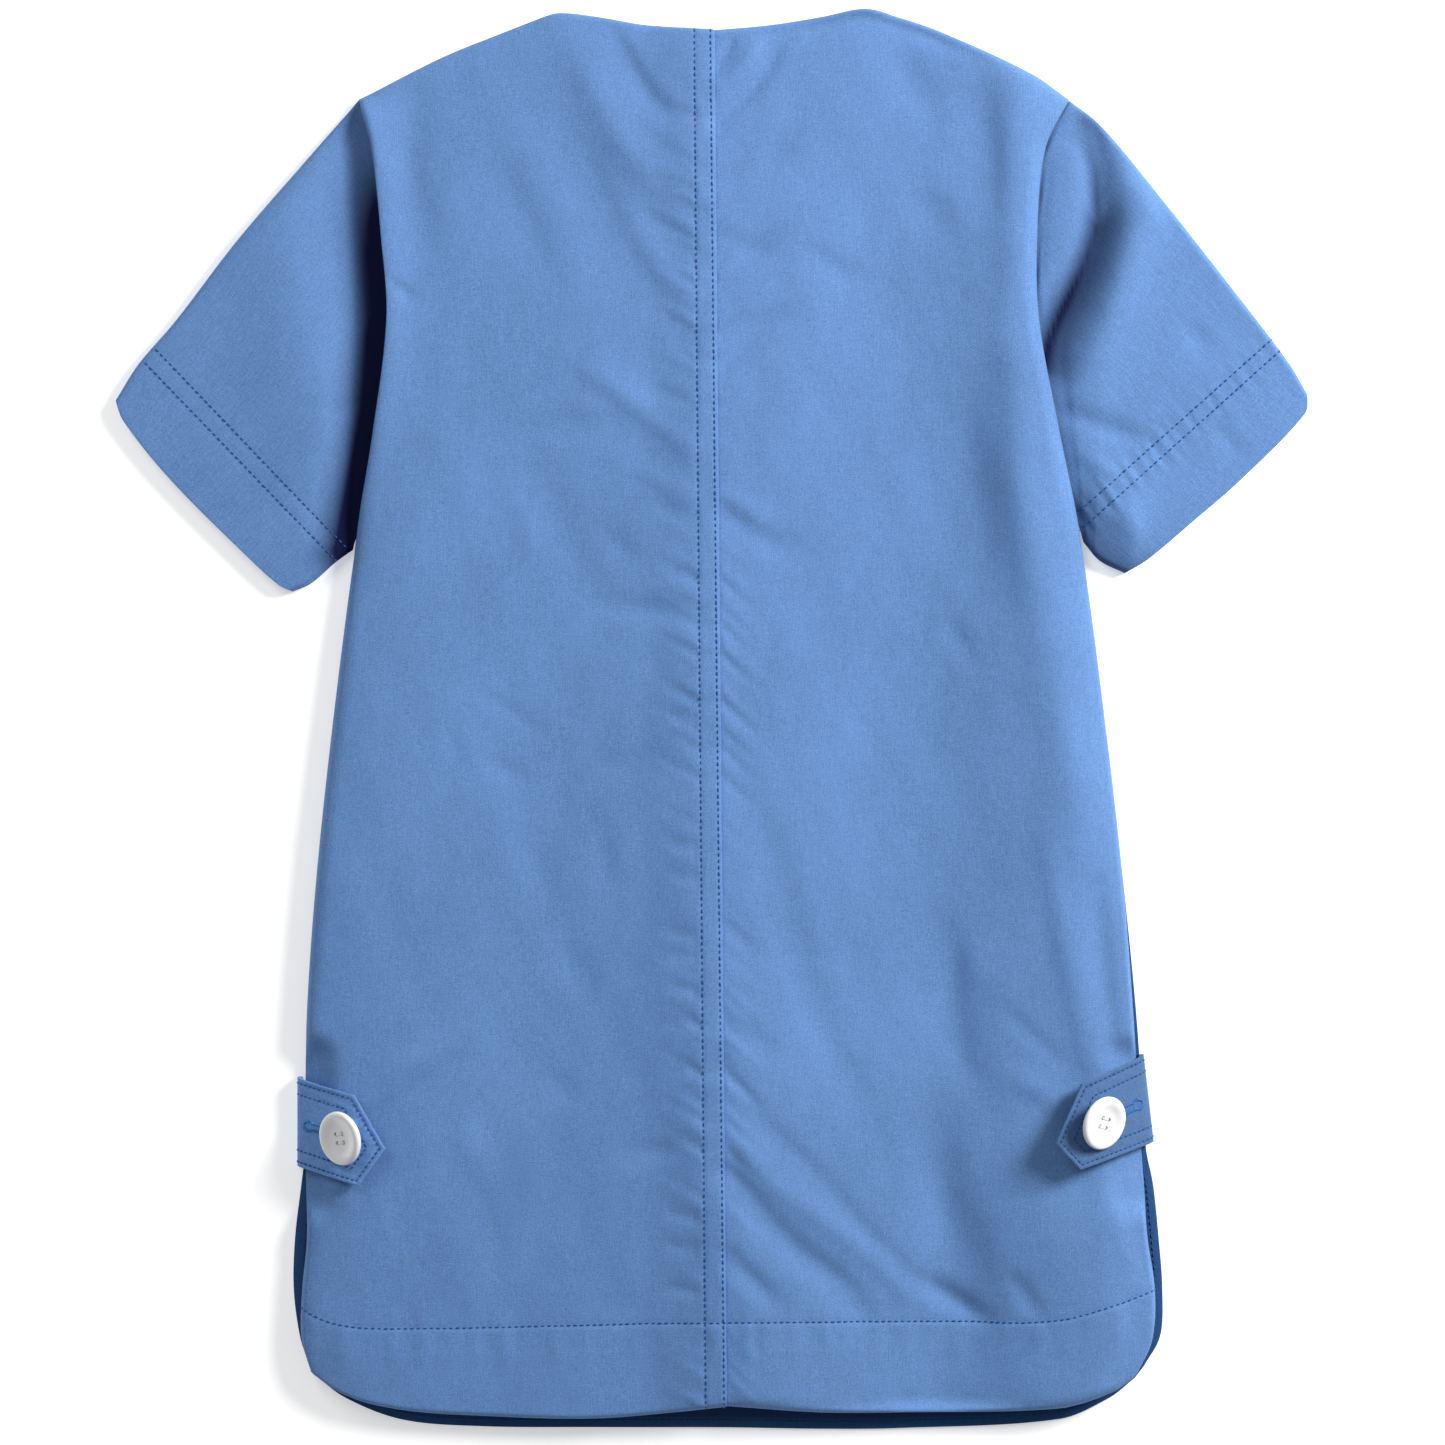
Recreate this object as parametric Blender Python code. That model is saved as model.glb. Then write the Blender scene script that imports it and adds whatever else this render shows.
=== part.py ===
"""Child's nurse uniform dress, laid flat with its back up.

The front panel lies on the floor. Two back panels lie over it and meet in a lapped seam down the
middle. A flattened sleeve joins each armhole, and a pointed tab comes round each side edge and is
held on the back by a four-hole button.

The tables are in millimetres: +X to the viewer's right, +Y towards the neck, +Z up from the floor.
Left and right are the viewer's, looking down on the back. The model itself is in metres.
"""

import math

import bmesh
import bpy
from mathutils import Matrix, Vector

MM = 0.001

CLOTH = 1.2             # thickness of one layer of cloth
GAP = 0.3               # space that two pieces keep at a seam
TAB_CLOTH = 2.0         # a tab is two layers sewn flat

SEAM_TOP = 1.3          # x of the lap's folded edge at the neck
SEAM_BOTTOM = 6.5       # and at the hem
LAP = 8.0               # how far the right back panel runs under the left one
LAP_RAMP = 4.5          # width over which the left panel climbs onto the lap
LAP_RISE = CLOTH + 2 * GAP
TENT = 1.6              # extra height along the centre seam, fading out to the sides

NECK_HALF = 64.0        # half the width of the neck
V_BOTTOM = 127.0        # lowest point of the front's neck
NECK_FOOT = 5.6         # height of the back's free edge at the neck
SHOULDER_FOOT = 2.7     # height of the back's edge where it is sewn to the front
TOP_ROLL = 9.0          # width of the rounding along the neck and the shoulders
HEM_FOOT = 8.4          # height of the back's free hem
CORNER_FOOT = 6.4       # and at its rounded corners
CORNER_START = 150.0    # distance from the middle at which the corners start
HEM_ROLL = 30.0         # width over which the back comes down to its hem
NECK_BLEND = 14.0       # width over which the neck's height changes to the shoulders'
NECK_REACH = 12.0       # how far that goes on beyond the neck
CORNER_OVERHANG = 2.0   # how far the front's corners stand out past the back's

BACK_WIDTH = 158.0      # usual size of one back panel
BACK_LENGTH = 578.0
BACK_STEP = (13.5, 17.5)      # spacing of the back's sections across and down

# The body at each level: edges of the back, then how far the front shows beyond them.
BODY_COLUMNS = ("level", "left", "right", "front_left", "front_right")
BODY = (
    (261.0, -148.5, 150.6, 0.0, 0.0),
    (240.0, -142.8, 140.4, 0.0, 0.0),
    (202.0, -138.6, 136.9, 0.0, 0.0),
    (168.0, -136.3, 137.8, 0.0, 0.0),
    (120.0, -142.3, 146.6, 0.0, 0.0),
    (75.0, -149.7, 155.6, 0.0, 0.0),
    (0.0, -159.4, 165.7, 0.0, 0.0),
    (-70.0, -166.8, 173.5, 0.0, 0.3),
    (-125.0, -170.4, 177.6, 0.3, 1.6),
    (-180.0, -171.0, 180.8, 0.3, 2.3),
    (-196.0, -170.6, 182.0, 2.4, 4.2),
    (-218.0, -170.3, 183.5, 5.3, 5.0),
    (-240.0, -172.3, 186.6, 3.9, 3.5),
    (-260.0, -172.6, 185.6, 1.0, 3.6),
)

# How the back lies at each level: height of its top, width of the rounding down to the sides,
# and height of each side edge. The edge is high over a sleeve and at a vent, low at a side seam.
LOFT_COLUMNS = ("level", "top", "roll", "left_edge", "right_edge")
LOFT = (
    (300.0, 6.8, 9.0, 2.7, 2.7),
    (262.0, 7.2, 9.0, 3.6, 3.6),
    (248.0, 7.6, 9.0, 5.8, 5.5),
    (225.0, 7.9, 9.0, 7.4, 5.9),
    (165.0, 8.6, 10.0, 8.4, 6.2),
    (92.0, 9.5, 11.0, 8.2, 5.8),
    (68.0, 9.7, 12.0, 2.7, 2.7),
    (0.0, 10.6, 14.0, 2.7, 2.7),
    (-70.0, 11.5, 18.0, 2.7, 3.2),
    (-130.0, 12.2, 22.0, 3.4, 4.6),
    (-180.0, 12.4, 23.0, 4.6, 4.7),
    (-240.0, 12.0, 20.0, 4.6, 4.7),
    (-300.0, 11.6, 16.0, 4.6, 4.7),
)

# Neck and shoulders from the left shoulder's tip to the right one's, as (x, y).
NECK_LEFT, TOP_MIDDLE, NECK_RIGHT = 4, 7, 10      # rows of the neck's ends and of the seam
TOP_EDGE = (
    (-148.5, 261.0),
    (-114.0, 278.7),
    (-89.3, 288.8),
    (-71.6, 295.5),
    (-63.6, 297.2),
    (-47.7, 295.5),
    (-27.5, 292.1),
    (1.3, 290.0),
    (24.6, 292.1),
    (46.0, 295.5),
    (64.9, 299.0),
    (80.0, 295.5),
    (98.9, 288.8),
    (135.0, 272.0),
    (150.6, 261.0),
)

# The hems from the middle of the left corner to that of the right one.
HEM_COLUMNS = ("x", "back", "front")
HEM_MIDDLE = 5                # the row where the centre seam meets the hem
HEM = (
    (-168.5, -274.4, -275.4),
    (-154.4, -283.7, -286.0),
    (-130.4, -289.8, -295.2),
    (-97.2, -292.3, -298.0),
    (-46.8, -293.4, -298.4),
    (6.5, -288.3, -298.5),
    (45.6, -290.9, -299.1),
    (79.2, -290.9, -298.8),
    (146.4, -289.2, -295.0),
    (167.8, -282.8, -286.0),
    (178.5, -275.6, -277.6),
)

# The broadest folds of the back, each a soft ridge, or a trough where its height is negative.
FOLD_COLUMNS = ("x0", "y0", "x1", "y1", "width", "height")
FOLDS = (
    (112.0, 262.0, 116.0, -110.0, 20.0, -1.5),
    (-42.0, 150.0, -38.0, -230.0, 30.0, -1.2),
    (-104.0, 200.0, -116.0, -120.0, 24.0, 0.9),
    (62.0, 160.0, 70.0, -170.0, 22.0, 0.6),
    (-78.0, 118.0, -36.0, 22.0, 9.0, -0.8),
    (88.0, -178.0, 118.0, -252.0, 12.0, -1.2),
)

# Each sleeve as it lies: the fold along its top, its open end and its underarm, all outwards.
SLEEVES = {
    "left": {
        "fold": ((-149.2, 260.4), (-171.2, 235.0), (-200.1, 201.4), (-225.8, 167.8),
                 (-241.5, 149.5), (-250.9, 134.6)),
        "cuff": ((-250.9, 134.6), (-247.4, 125.5), (-227.4, 100.6), (-193.8, 67.0),
                 (-182.0, 56.5), (-176.4, 53.8)),
        "underarm": ((-151.3, 71.4), (-158.6, 66.0), (-168.6, 57.3), (-176.4, 53.8)),
    },
    "right": {
        "fold": ((151.6, 260.2), (164.0, 250.3), (190.5, 218.2), (216.9, 184.6),
                 (242.6, 151.0), (250.9, 137.2)),
        "cuff": ((250.9, 137.2), (249.6, 128.6), (222.4, 100.6), (203.1, 83.8),
                 (183.5, 67.3), (174.0, 61.6)),
        "underarm": ((156.9, 74.6), (163.4, 66.9), (174.0, 61.6)),
    },
}
SLEEVE_SEAM = (253.0, 78.0)   # levels between which a sleeve joins the body
TUCK = 4.0                    # how far a sleeve's upper layer runs under the back's edge
TUCK_END = 0.08               # share of the sleeve's length over which the tuck runs out

# Each sleeve's upper layer starts close under the back's edge and drops away from it over this
# share of the sleeve's length.
SEAM_DROP = {"left": 0.035, "right": 0.14}
SEAM_CLEARANCE = 0.75
SLEEVE_ROLL = 9.0             # width over which a sleeve's folds fade to its outer folds

# The folds of each sleeve beside its armhole: a trough along the seam and the crest beyond it.
SLEEVE_FOLDS = {
    "left": (
        (-145.0, 245.0, -146.0, 112.0, 9.0, -1.2),
        (-171.0, 236.0, -174.0, 168.0, 15.0, 2.6),
        (-175.0, 190.0, -158.0, 104.0, 14.0, 2.2),
    ),
    "right": (
        (162.0, 244.0, 148.0, 140.0, 6.5, -2.2),
        (169.0, 240.0, 174.0, 150.0, 10.0, 3.0),
    ),
}
SLEEVE_PROFILE_COLUMNS = ("along", "top")
SLEEVE_PROFILE = (
    (0.0, 3.6),
    (0.04, 3.7),
    (0.14, 4.9),
    (0.32, 6.0),
    (0.60, 6.2),
    (0.85, 5.9),
    (1.0, 5.6),
)

# Each tab as seen from above: the fold round the side edge, its shoulders and its point.
TABS = {
    "left": {"root_top": (-174.4, -150.6), "shoulder_top": (-150.4, -157.7),
             "tip": (-137.1, -179.8), "shoulder_bottom": (-148.5, -195.7),
             "root_bottom": (-174.4, -187.6), "tip_lift": 0.0},
    "right": {"root_top": (182.9, -140.3), "shoulder_top": (158.3, -153.5),
              "tip": (145.5, -176.5), "shoulder_bottom": (156.2, -188.7),
              "root_bottom": (185.8, -177.0), "tip_lift": 2.5},
}
TAB_PROFILE_COLUMNS = ("from_fold", "top")
TAB_PROFILE = (
    (1.6, 7.7),
    (4.5, 9.5),
    (9.0, 11.8),
    (14.0, 14.1),
    (19.0, 16.3),
    (25.0, 18.5),
    (32.0, 20.2),
    (41.0, 21.8),
)
# The fold round the side edge, from the floor up, as (from_fold, height).
TAB_WALL = ((0.0, 0.4), (0.0, 2.6), (0.1, 4.6), (0.6, 6.4))

# Each button: its centre, how far it is turned, and its underside's height above the tab.
BUTTONS = {
    "left": {"centre": (-155.9, -175.8), "lean": 12.0, "stand": 2.3},
    "right": {"centre": (164.0, -169.1), "lean": -20.0, "stand": 2.9},
}
BUTTON_RADIUS = 11.45
BUTTON_THICKNESS = 3.4
BUTTON_TILT = 35.0            # degrees that its face leans outwards
BUTTON_HOLE_RADIUS = 0.95
BUTTON_HOLE_SPACING = 3.7

CLOTH_COLOUR = (0.145, 0.292, 0.584, 1.0)
BUTTON_COLOUR = (0.86, 0.86, 0.87, 1.0)


def look_up(rows, columns, name, place):
    """Read one column of a table at a place between its rows, along straight lines."""
    column = columns.index(name)
    ordered = sorted(rows)
    if place <= ordered[0][0]:
        return ordered[0][column]
    for low, high in zip(ordered, ordered[1:]):
        if place <= high[0]:
            share = (place - low[0]) / (high[0] - low[0])
            return low[column] + (high[column] - low[column]) * share
    return ordered[-1][column]


class Path:
    """A smooth plane curve through a few points, read by its share from 0 to 1."""

    def __init__(self, points):
        self.points = [Vector(point) for point in points]
        self.stops = [0.0]
        for start, end in zip(self.points, self.points[1:]):
            self.stops.append(self.stops[-1] + (end - start).length)

    def tangent(self, index):
        before = max(index - 1, 0)
        after = min(index + 1, len(self.points) - 1)
        run = self.stops[after] - self.stops[before]
        return (self.points[after] - self.points[before]) / run

    def at(self, share):
        place = min(max(share, 0.0), 1.0) * self.stops[-1]
        index = 0
        while index < len(self.points) - 2 and place > self.stops[index + 1]:
            index += 1
        length = self.stops[index + 1] - self.stops[index]
        t = (place - self.stops[index]) / length
        return (
            self.points[index] * (2 * t ** 3 - 3 * t ** 2 + 1)
            + self.tangent(index) * length * (t ** 3 - 2 * t ** 2 + t)
            + self.points[index + 1] * (3 * t ** 2 - 2 * t ** 3)
            + self.tangent(index + 1) * length * (t ** 3 - t ** 2)
        )


def patch(low, high, start, end, u, v):
    """A point of the surface between four border curves; low and high run with u."""
    across = low.at(u) * (1 - v) + high.at(u) * v
    along = start.at(v) * (1 - u) + end.at(v) * u
    corners = (
        low.at(0) * (1 - u) * (1 - v) + low.at(1) * u * (1 - v)
        + high.at(0) * (1 - u) * v + high.at(1) * u * v
    )
    return across + along - corners


def spaced(length, first, last, step):
    """Shares of a length: chosen distances at both ends and even steps between them."""
    start = first[-1]
    stop = length - last[-1]
    count = max(1, round((stop - start) / step))
    middle = [start + (stop - start) * index / count for index in range(count + 1)]
    places = list(first[:-1]) + middle + [length - distance for distance in reversed(last[:-1])]
    return [place / length for place in places]


def rounding(distance, width):
    """0 at an edge, rising to 1 where its rounding ends."""
    return math.sin(math.pi / 2 * min(1.0, max(0.0, distance) / width))


def seam_x(level):
    """Where the lap's folded edge is at a level."""
    share = (TOP_EDGE[TOP_MIDDLE][1] - level) / (TOP_EDGE[TOP_MIDDLE][1] - HEM[HEM_MIDDLE][1])
    return SEAM_TOP + (SEAM_BOTTOM - SEAM_TOP) * share


def fold_height(x, y, folds):
    """Rise of the broad folds at a point, each fading towards its two ends."""
    total = 0.0
    for row in folds:
        fold = dict(zip(FOLD_COLUMNS, row))
        start = Vector((fold["x0"], fold["y0"]))
        run = Vector((fold["x1"], fold["y1"])) - start
        share = (Vector((x, y)) - start).dot(run) / run.length_squared
        nearest = start + run * min(1.0, max(0.0, share))
        distance = (Vector((x, y)) - nearest).length
        fade = math.sin(math.pi * min(0.96, max(0.04, share)))
        total += fold["height"] * fade * math.exp(-(distance / fold["width"]) ** 2)
    return total


def back_height(x, y, side, side_distance, top_distance, hem_distance):
    """Height of the back's upper face, from how far a point is from the panel's edges."""
    crown = look_up(LOFT, LOFT_COLUMNS, "top", y)
    reach = abs(look_up(BODY, BODY_COLUMNS, side, y) - seam_x(y))
    crown += TENT * max(0.0, 1.0 - abs(x - seam_x(y)) / reach) + fold_height(x, y, FOLDS)
    neck = rounding(NECK_HALF + NECK_REACH - abs(x), NECK_BLEND)
    edges = (
        (side_distance, look_up(LOFT, LOFT_COLUMNS, "roll", y),
         look_up(LOFT, LOFT_COLUMNS, side + "_edge", y)),
        (top_distance, TOP_ROLL, SHOULDER_FOOT + (NECK_FOOT - SHOULDER_FOOT) * neck),
        (hem_distance, HEM_ROLL, HEM_FOOT if abs(x) < CORNER_START else CORNER_FOOT),
    )
    rise = 1.0
    weight = 0.0
    foot = 0.0
    for distance, width, height in edges:
        share = rounding(distance, width)
        rise *= share
        weight += 1.0 - share
        foot += (1.0 - share) * height
    if weight < 1e-6:
        return crown
    return foot / weight + (crown - foot / weight) * rise


def hem_points(panel):
    """The hem of the back or the front, from the left corner to the right one."""
    rows = [dict(zip(HEM_COLUMNS, row)) for row in HEM]
    return [(row["x"], row[panel]) for row in rows]


def side_path(side, panel):
    """One side edge of the back or the front, from the shoulder's tip down to the hem's corner."""
    points = []
    outward = -1.0 if side == "left" else 1.0
    for row in BODY:
        values = dict(zip(BODY_COLUMNS, row))
        extra = values["front_" + side] if panel == "front" else 0.0
        points.append((values[side] + outward * extra, values["level"]))
    x, y = hem_points(panel)[0 if side == "left" else -1]
    overhang = CORNER_OVERHANG if panel == "front" else 0.0
    points.append((x + outward * overhang, y))
    return Path(points)


def top_path(side):
    """Neck and shoulder of one back panel, from the shoulder's tip to the seam."""
    if side == "left":
        return Path(TOP_EDGE[:TOP_MIDDLE + 1])
    return Path(tuple(reversed(TOP_EDGE[TOP_MIDDLE:])))


def hem_path(side):
    """Hem of one back panel, from its rounded corner to the seam."""
    points = hem_points("back")
    return Path(points[:HEM_MIDDLE + 1] if side == "left" else list(reversed(points[HEM_MIDDLE:])))


def finish_object(name, mesh, material, wall=0.0):
    """Put a mesh in the scene, with a cloth wall grown inwards from it where one is asked for."""
    piece = bpy.data.objects.new(name, mesh)
    bpy.context.collection.objects.link(piece)
    mesh.materials.append(material)
    mesh.shade_smooth()
    mesh.set_sharp_from_angle(angle=math.radians(40.0))
    if wall:
        solid = piece.modifiers.new("wall", "SOLIDIFY")
        solid.thickness = wall * MM
        solid.offset = -1.0
        solid.use_even_offset = True
    return piece


def sheet_mesh(name, rows, closed=False):
    """A mesh of quads through rows of points in millimetres; closed joins each row's ends."""
    mesh = bpy.data.meshes.new(name)
    width = len(rows[0])
    vertices = [Vector(point) * MM for row in rows for point in row]
    faces = []
    for row in range(len(rows) - 1):
        for column in range(width if closed else width - 1):
            right = (column + 1) % width
            low = row * width
            high = low + width
            faces.append((low + column, low + right, high + right, high + column))
    mesh.from_pydata(vertices, [], faces)
    mesh.update()
    return mesh


def face_up(mesh, up=1.0):
    """Turn a sheet's faces so that the sheet as a whole looks up."""
    total = sum(face.normal.z * face.area for face in mesh.polygons)
    if total * up < 0.0:
        mesh.flip_normals()
    return mesh


def back_panel(side, material):
    """One half of the back. The right half runs on under the left half's lap."""
    hem = hem_path(side)
    top = top_path(side)
    edge = side_path(side, "back")
    seam = Path(((SEAM_TOP, TOP_EDGE[TOP_MIDDLE][1]), (SEAM_BOTTOM, HEM[HEM_MIDDLE][1])))
    near_side, near_seam = (0.0, 3.0, 8.0, 14.0, 22.0), (0.0, LAP + 2 * GAP, LAP + LAP_RAMP)
    near_top, near_hem = (0.0, 1.6, 4.4, 9.0), (0.0, 5.0, 14.0, 26.0)
    across = spaced(BACK_WIDTH, near_side, near_seam, BACK_STEP[0])
    down = spaced(BACK_LENGTH, near_top, near_hem, BACK_STEP[1])
    rows = []
    for v in down:
        row = []
        for u in across:
            point = patch(top, hem, edge, seam, u, v)
            side_distance = (point - edge.at(v)).length
            top_distance = (point - top.at(u)).length
            hem_distance = (point - hem.at(u)).length
            z = back_height(point.x, point.y, side, side_distance, top_distance, hem_distance)
            if side == "left":
                inward = (1.0 - u) * BACK_WIDTH
                climb = min(1.0, max(0.0, (LAP + LAP_RAMP - inward) / (LAP_RAMP - 2 * GAP)))
                z += LAP_RISE * climb
            row.append((point.x, point.y, z))
        if side == "right":
            x, y = seam.at(v)
            hidden = []
            for tuck in (LAP / 2, LAP):
                z = back_height(x - tuck, y, "left", BACK_WIDTH, v * BACK_LENGTH,
                                (1 - v) * BACK_LENGTH)
                hidden.append((x - tuck, y, z))
            row.extend(hidden)
        rows.append(row)
    mesh = face_up(sheet_mesh("back_" + side, rows))
    return finish_object("back_" + side, mesh, material, CLOTH)


def front_outline():
    """The front panel's edge, once round, from the neck's left point down the left side."""
    stretches = (
        (Path(tuple(reversed(TOP_EDGE[:NECK_LEFT + 1]))), 8),
        (side_path("left", "front"), 34),
        (Path(hem_points("front")), 26),
        (Path(tuple(reversed(side_path("right", "front").points))), 34),
        (Path(tuple(reversed(TOP_EDGE[NECK_RIGHT:]))), 8),
        (Path((TOP_EDGE[NECK_RIGHT], (SEAM_TOP, V_BOTTOM))), 4),
        (Path(((SEAM_TOP, V_BOTTOM), TOP_EDGE[NECK_LEFT])), 4),
    )
    points = []
    for path, count in stretches:
        for index in range(count + 1):
            point = path.at(index / count)
            if not points or (point - points[-1]).length > 0.5:
                points.append(point)
    if (points[-1] - points[0]).length < 0.5:
        points.pop()
    return points


def front_panel(material):
    """The front lies flat on the floor, with a plain V for the neck."""
    mesh = bpy.data.meshes.new("front")
    outline = [Vector((point.x, point.y, CLOTH)) * MM for point in front_outline()]
    mesh.from_pydata(outline, [], [tuple(range(len(outline)))])
    mesh.update()
    return finish_object("front", face_up(mesh), material, CLOTH)


def sleeve(side, material):
    """A flattened tube from the armhole to its open end, its upper layer tucked under the back."""
    shape = SLEEVES[side]
    outward = -1.0 if side == "left" else 1.0
    seam_off = GAP * 1.5
    armhole = [Vector(shape["fold"][0])]
    for index in range(1, 8):
        level = SLEEVE_SEAM[0] + (SLEEVE_SEAM[1] - SLEEVE_SEAM[0]) * (index - 0.5) / 7
        edge = look_up(BODY, BODY_COLUMNS, side, level)
        armhole.append(Vector((edge + outward * seam_off, level)))
    armhole.append(Vector(shape["underarm"][0]))
    start = Path(armhole)
    end = Path(shape["cuff"])
    fold = Path(shape["fold"])
    underarm = Path(shape["underarm"])
    rings = []
    for along in (0.0, 0.03, 0.08, 0.14, 0.20, 0.26, 0.33, 0.41, 0.5, 0.62, 0.74, 0.86, 0.94, 1.0):
        height = look_up(SLEEVE_PROFILE, SLEEVE_PROFILE_COLUMNS, "top", along)
        rings.append(sleeve_ring(start, end, fold, underarm, along, height, side))
    mesh = sheet_mesh("sleeve_" + side, rings, closed=True)
    low = [face for face in mesh.polygons if face.center.z < 0.5 * MM]
    if sum(face.normal.z for face in low) > 0.0:
        mesh.flip_normals()
    return finish_object("sleeve_" + side, mesh, material, CLOTH)


def sleeve_ring(start, end, fold, underarm, along, height, side):
    """One section round the sleeve: over the top from the fold to the underarm, and back below."""
    outward = -1.0 if side == "left" else 1.0
    lowest = 2 * CLOTH + 1.5 * GAP
    length = (start.at(1) - start.at(0)).length * (1 - along) + (end.at(1) - end.at(0)).length * along
    half = height / 2
    points = []

    def plan(distance):
        share = distance / length
        return patch(start, end, fold, underarm, share, along), share

    over = [half * (1 - math.cos(math.radians(angle))) for angle in (0, 30, 60, 90)]
    inner = [over[-1] + (length - 2 * over[-1]) * index / 12 for index in range(1, 12)]
    distances = over + inner + [length - distance for distance in reversed(over)]
    for distance in distances:
        point, share = plan(distance)
        nearest = min(distance, length - distance)
        z = half + half * math.sqrt(max(0.0, 1.0 - (1.0 - min(1.0, nearest / half)) ** 2))
        folds = fold_height(point.x, point.y, SLEEVE_FOLDS[side]) * rounding(nearest, SLEEVE_ROLL)
        z = max(z + folds * rounding(along, TUCK_END), min(z, lowest))
        roof = look_up(LOFT, LOFT_COLUMNS, side + "_edge", point.y) - CLOTH - SEAM_CLEARANCE
        z += max(0.0, roof - z) * max(0.0, 1.0 - along / SEAM_DROP[side]) ** 2
        tuck = TUCK * max(0.0, 1.0 - along / TUCK_END) * math.sin(math.pi * share)
        points.append((point.x - outward * tuck, point.y, z))
    below = [length - distance for distance in over[1:]]
    below += [over[-1] + (length - 2 * over[-1]) * index / 6 for index in range(5, 0, -1)]
    below += list(reversed(over[1:]))
    for distance in below:
        point, share = plan(distance)
        nearest = min(distance, length - distance)
        z = half - half * math.sqrt(max(0.0, 1.0 - (1.0 - min(1.0, nearest / half)) ** 2))
        points.append((point.x, point.y, z))
    return points


def tab_plan(shape, across, share):
    """A point of a tab from above: across from its upper edge to its lower one, share to its end."""
    root = Vector(shape["root_top"]).lerp(Vector(shape["root_bottom"]), across)
    if across < 0.5:
        end = Vector(shape["shoulder_top"]).lerp(Vector(shape["tip"]), across * 2)
    else:
        end = Vector(shape["tip"]).lerp(Vector(shape["shoulder_bottom"]), across * 2 - 1)
    return root.lerp(end, share), (end - root).length


def tab_height(distance, lift):
    """Height of a tab's upper face at a distance from its fold."""
    longest = TAB_PROFILE[-1][0]
    height = look_up(TAB_PROFILE, TAB_PROFILE_COLUMNS, "top", distance)
    return height + lift * (min(distance, longest) / longest) ** 2


def tab(side, material):
    """A two-layer tab: up the side edge in a round fold, then over the back to its point."""
    shape = TABS[side]
    rows = []
    for across in (0.0, 0.12, 0.25, 0.375, 0.5, 0.625, 0.75, 0.88, 1.0):
        row = []
        for distance, z in TAB_WALL:
            point, length = tab_plan(shape, across, 0.0)
            point, length = tab_plan(shape, across, distance / length)
            row.append((point.x, point.y, z))
        for share in (0.05, 0.14, 0.26, 0.4, 0.55, 0.7, 0.85, 1.0):
            point, length = tab_plan(shape, across, share)
            row.append((point.x, point.y, tab_height(share * length, shape["tip_lift"])))
        rows.append(row)
    mesh = face_up(sheet_mesh("tab_" + side, rows))
    return finish_object("tab_" + side, mesh, material, TAB_CLOTH)


def button_mesh():
    """A four-hole button about its own axis, its underside at z = 0."""
    profile = (
        (0.0, 0.0), (0.82, 0.0), (0.96, 0.22), (1.0, 0.5), (0.97, 0.86), (0.88, 1.0),
        (0.78, 0.95), (0.64, 0.72), (0.42, 0.62), (0.0, 0.60),
    )
    mesh = bpy.data.meshes.new("button")
    shape = bmesh.new()
    outline = [
        shape.verts.new((radius * BUTTON_RADIUS * MM, 0.0, height * BUTTON_THICKNESS * MM))
        for radius, height in profile
    ]
    edges = [shape.edges.new(pair) for pair in zip(outline, outline[1:])]
    bmesh.ops.spin(shape, geom=outline + edges, axis=(0, 0, 1), cent=(0, 0, 0),
                   angle=2 * math.pi, steps=36, use_merge=True)
    bmesh.ops.remove_doubles(shape, verts=shape.verts, dist=0.00001)
    bmesh.ops.recalc_face_normals(shape, faces=shape.faces)
    shape.to_mesh(mesh)
    shape.free()
    return mesh


def hole_cutters(placement):
    """The four thread holes as one hidden cutter."""
    mesh = bpy.data.meshes.new("holes")
    shape = bmesh.new()
    for x in (-0.5, 0.5):
        for y in (-0.5, 0.5):
            centre = Vector((x, y, 0.0)) * BUTTON_HOLE_SPACING * MM
            centre.z = BUTTON_THICKNESS * MM / 2
            bmesh.ops.create_cone(
                shape, cap_ends=True, segments=10, radius1=BUTTON_HOLE_RADIUS * MM,
                radius2=BUTTON_HOLE_RADIUS * MM, depth=BUTTON_THICKNESS * MM * 3,
                matrix=Matrix.Translation(centre))
    shape.to_mesh(mesh)
    shape.free()
    cutter = bpy.data.objects.new("holes", mesh)
    bpy.context.collection.objects.link(cutter)
    cutter.matrix_world = placement
    cutter.hide_render = True
    cutter.display_type = "WIRE"
    return cutter


def button(side, mesh, material):
    """A button on its tab, leaning outwards more than the tab does, as its thread lets it."""
    place = BUTTONS[side]
    shape = TABS[side]
    outward = -1.0 if side == "left" else 1.0
    x, y = place["centre"]
    middle = Vector(shape["root_top"]).lerp(Vector(shape["root_bottom"]), 0.5)
    distance = (Vector((x, y)) - middle).length
    z = tab_height(distance, shape["tip_lift"]) + place["stand"]
    turn = Matrix.Rotation(math.radians(place["lean"]), 4, "Z")
    tilt = Matrix.Rotation(math.radians(outward * BUTTON_TILT), 4, "Y")
    placement = Matrix.Translation(Vector((x, y, z)) * MM) @ turn @ tilt
    piece = finish_object("button_" + side, mesh, material)
    piece.matrix_world = placement
    cut = piece.modifiers.new("holes", "BOOLEAN")
    cut.operation = "DIFFERENCE"
    cut.object = hole_cutters(placement)
    return piece


def plain_material(name, colour, roughness):
    material = bpy.data.materials.new(name)
    material.use_nodes = True
    shader = material.node_tree.nodes["Principled BSDF"]
    shader.inputs["Base Color"].default_value = colour
    shader.inputs["Roughness"].default_value = roughness
    shader.inputs["Metallic"].default_value = 0.0
    return material


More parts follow.
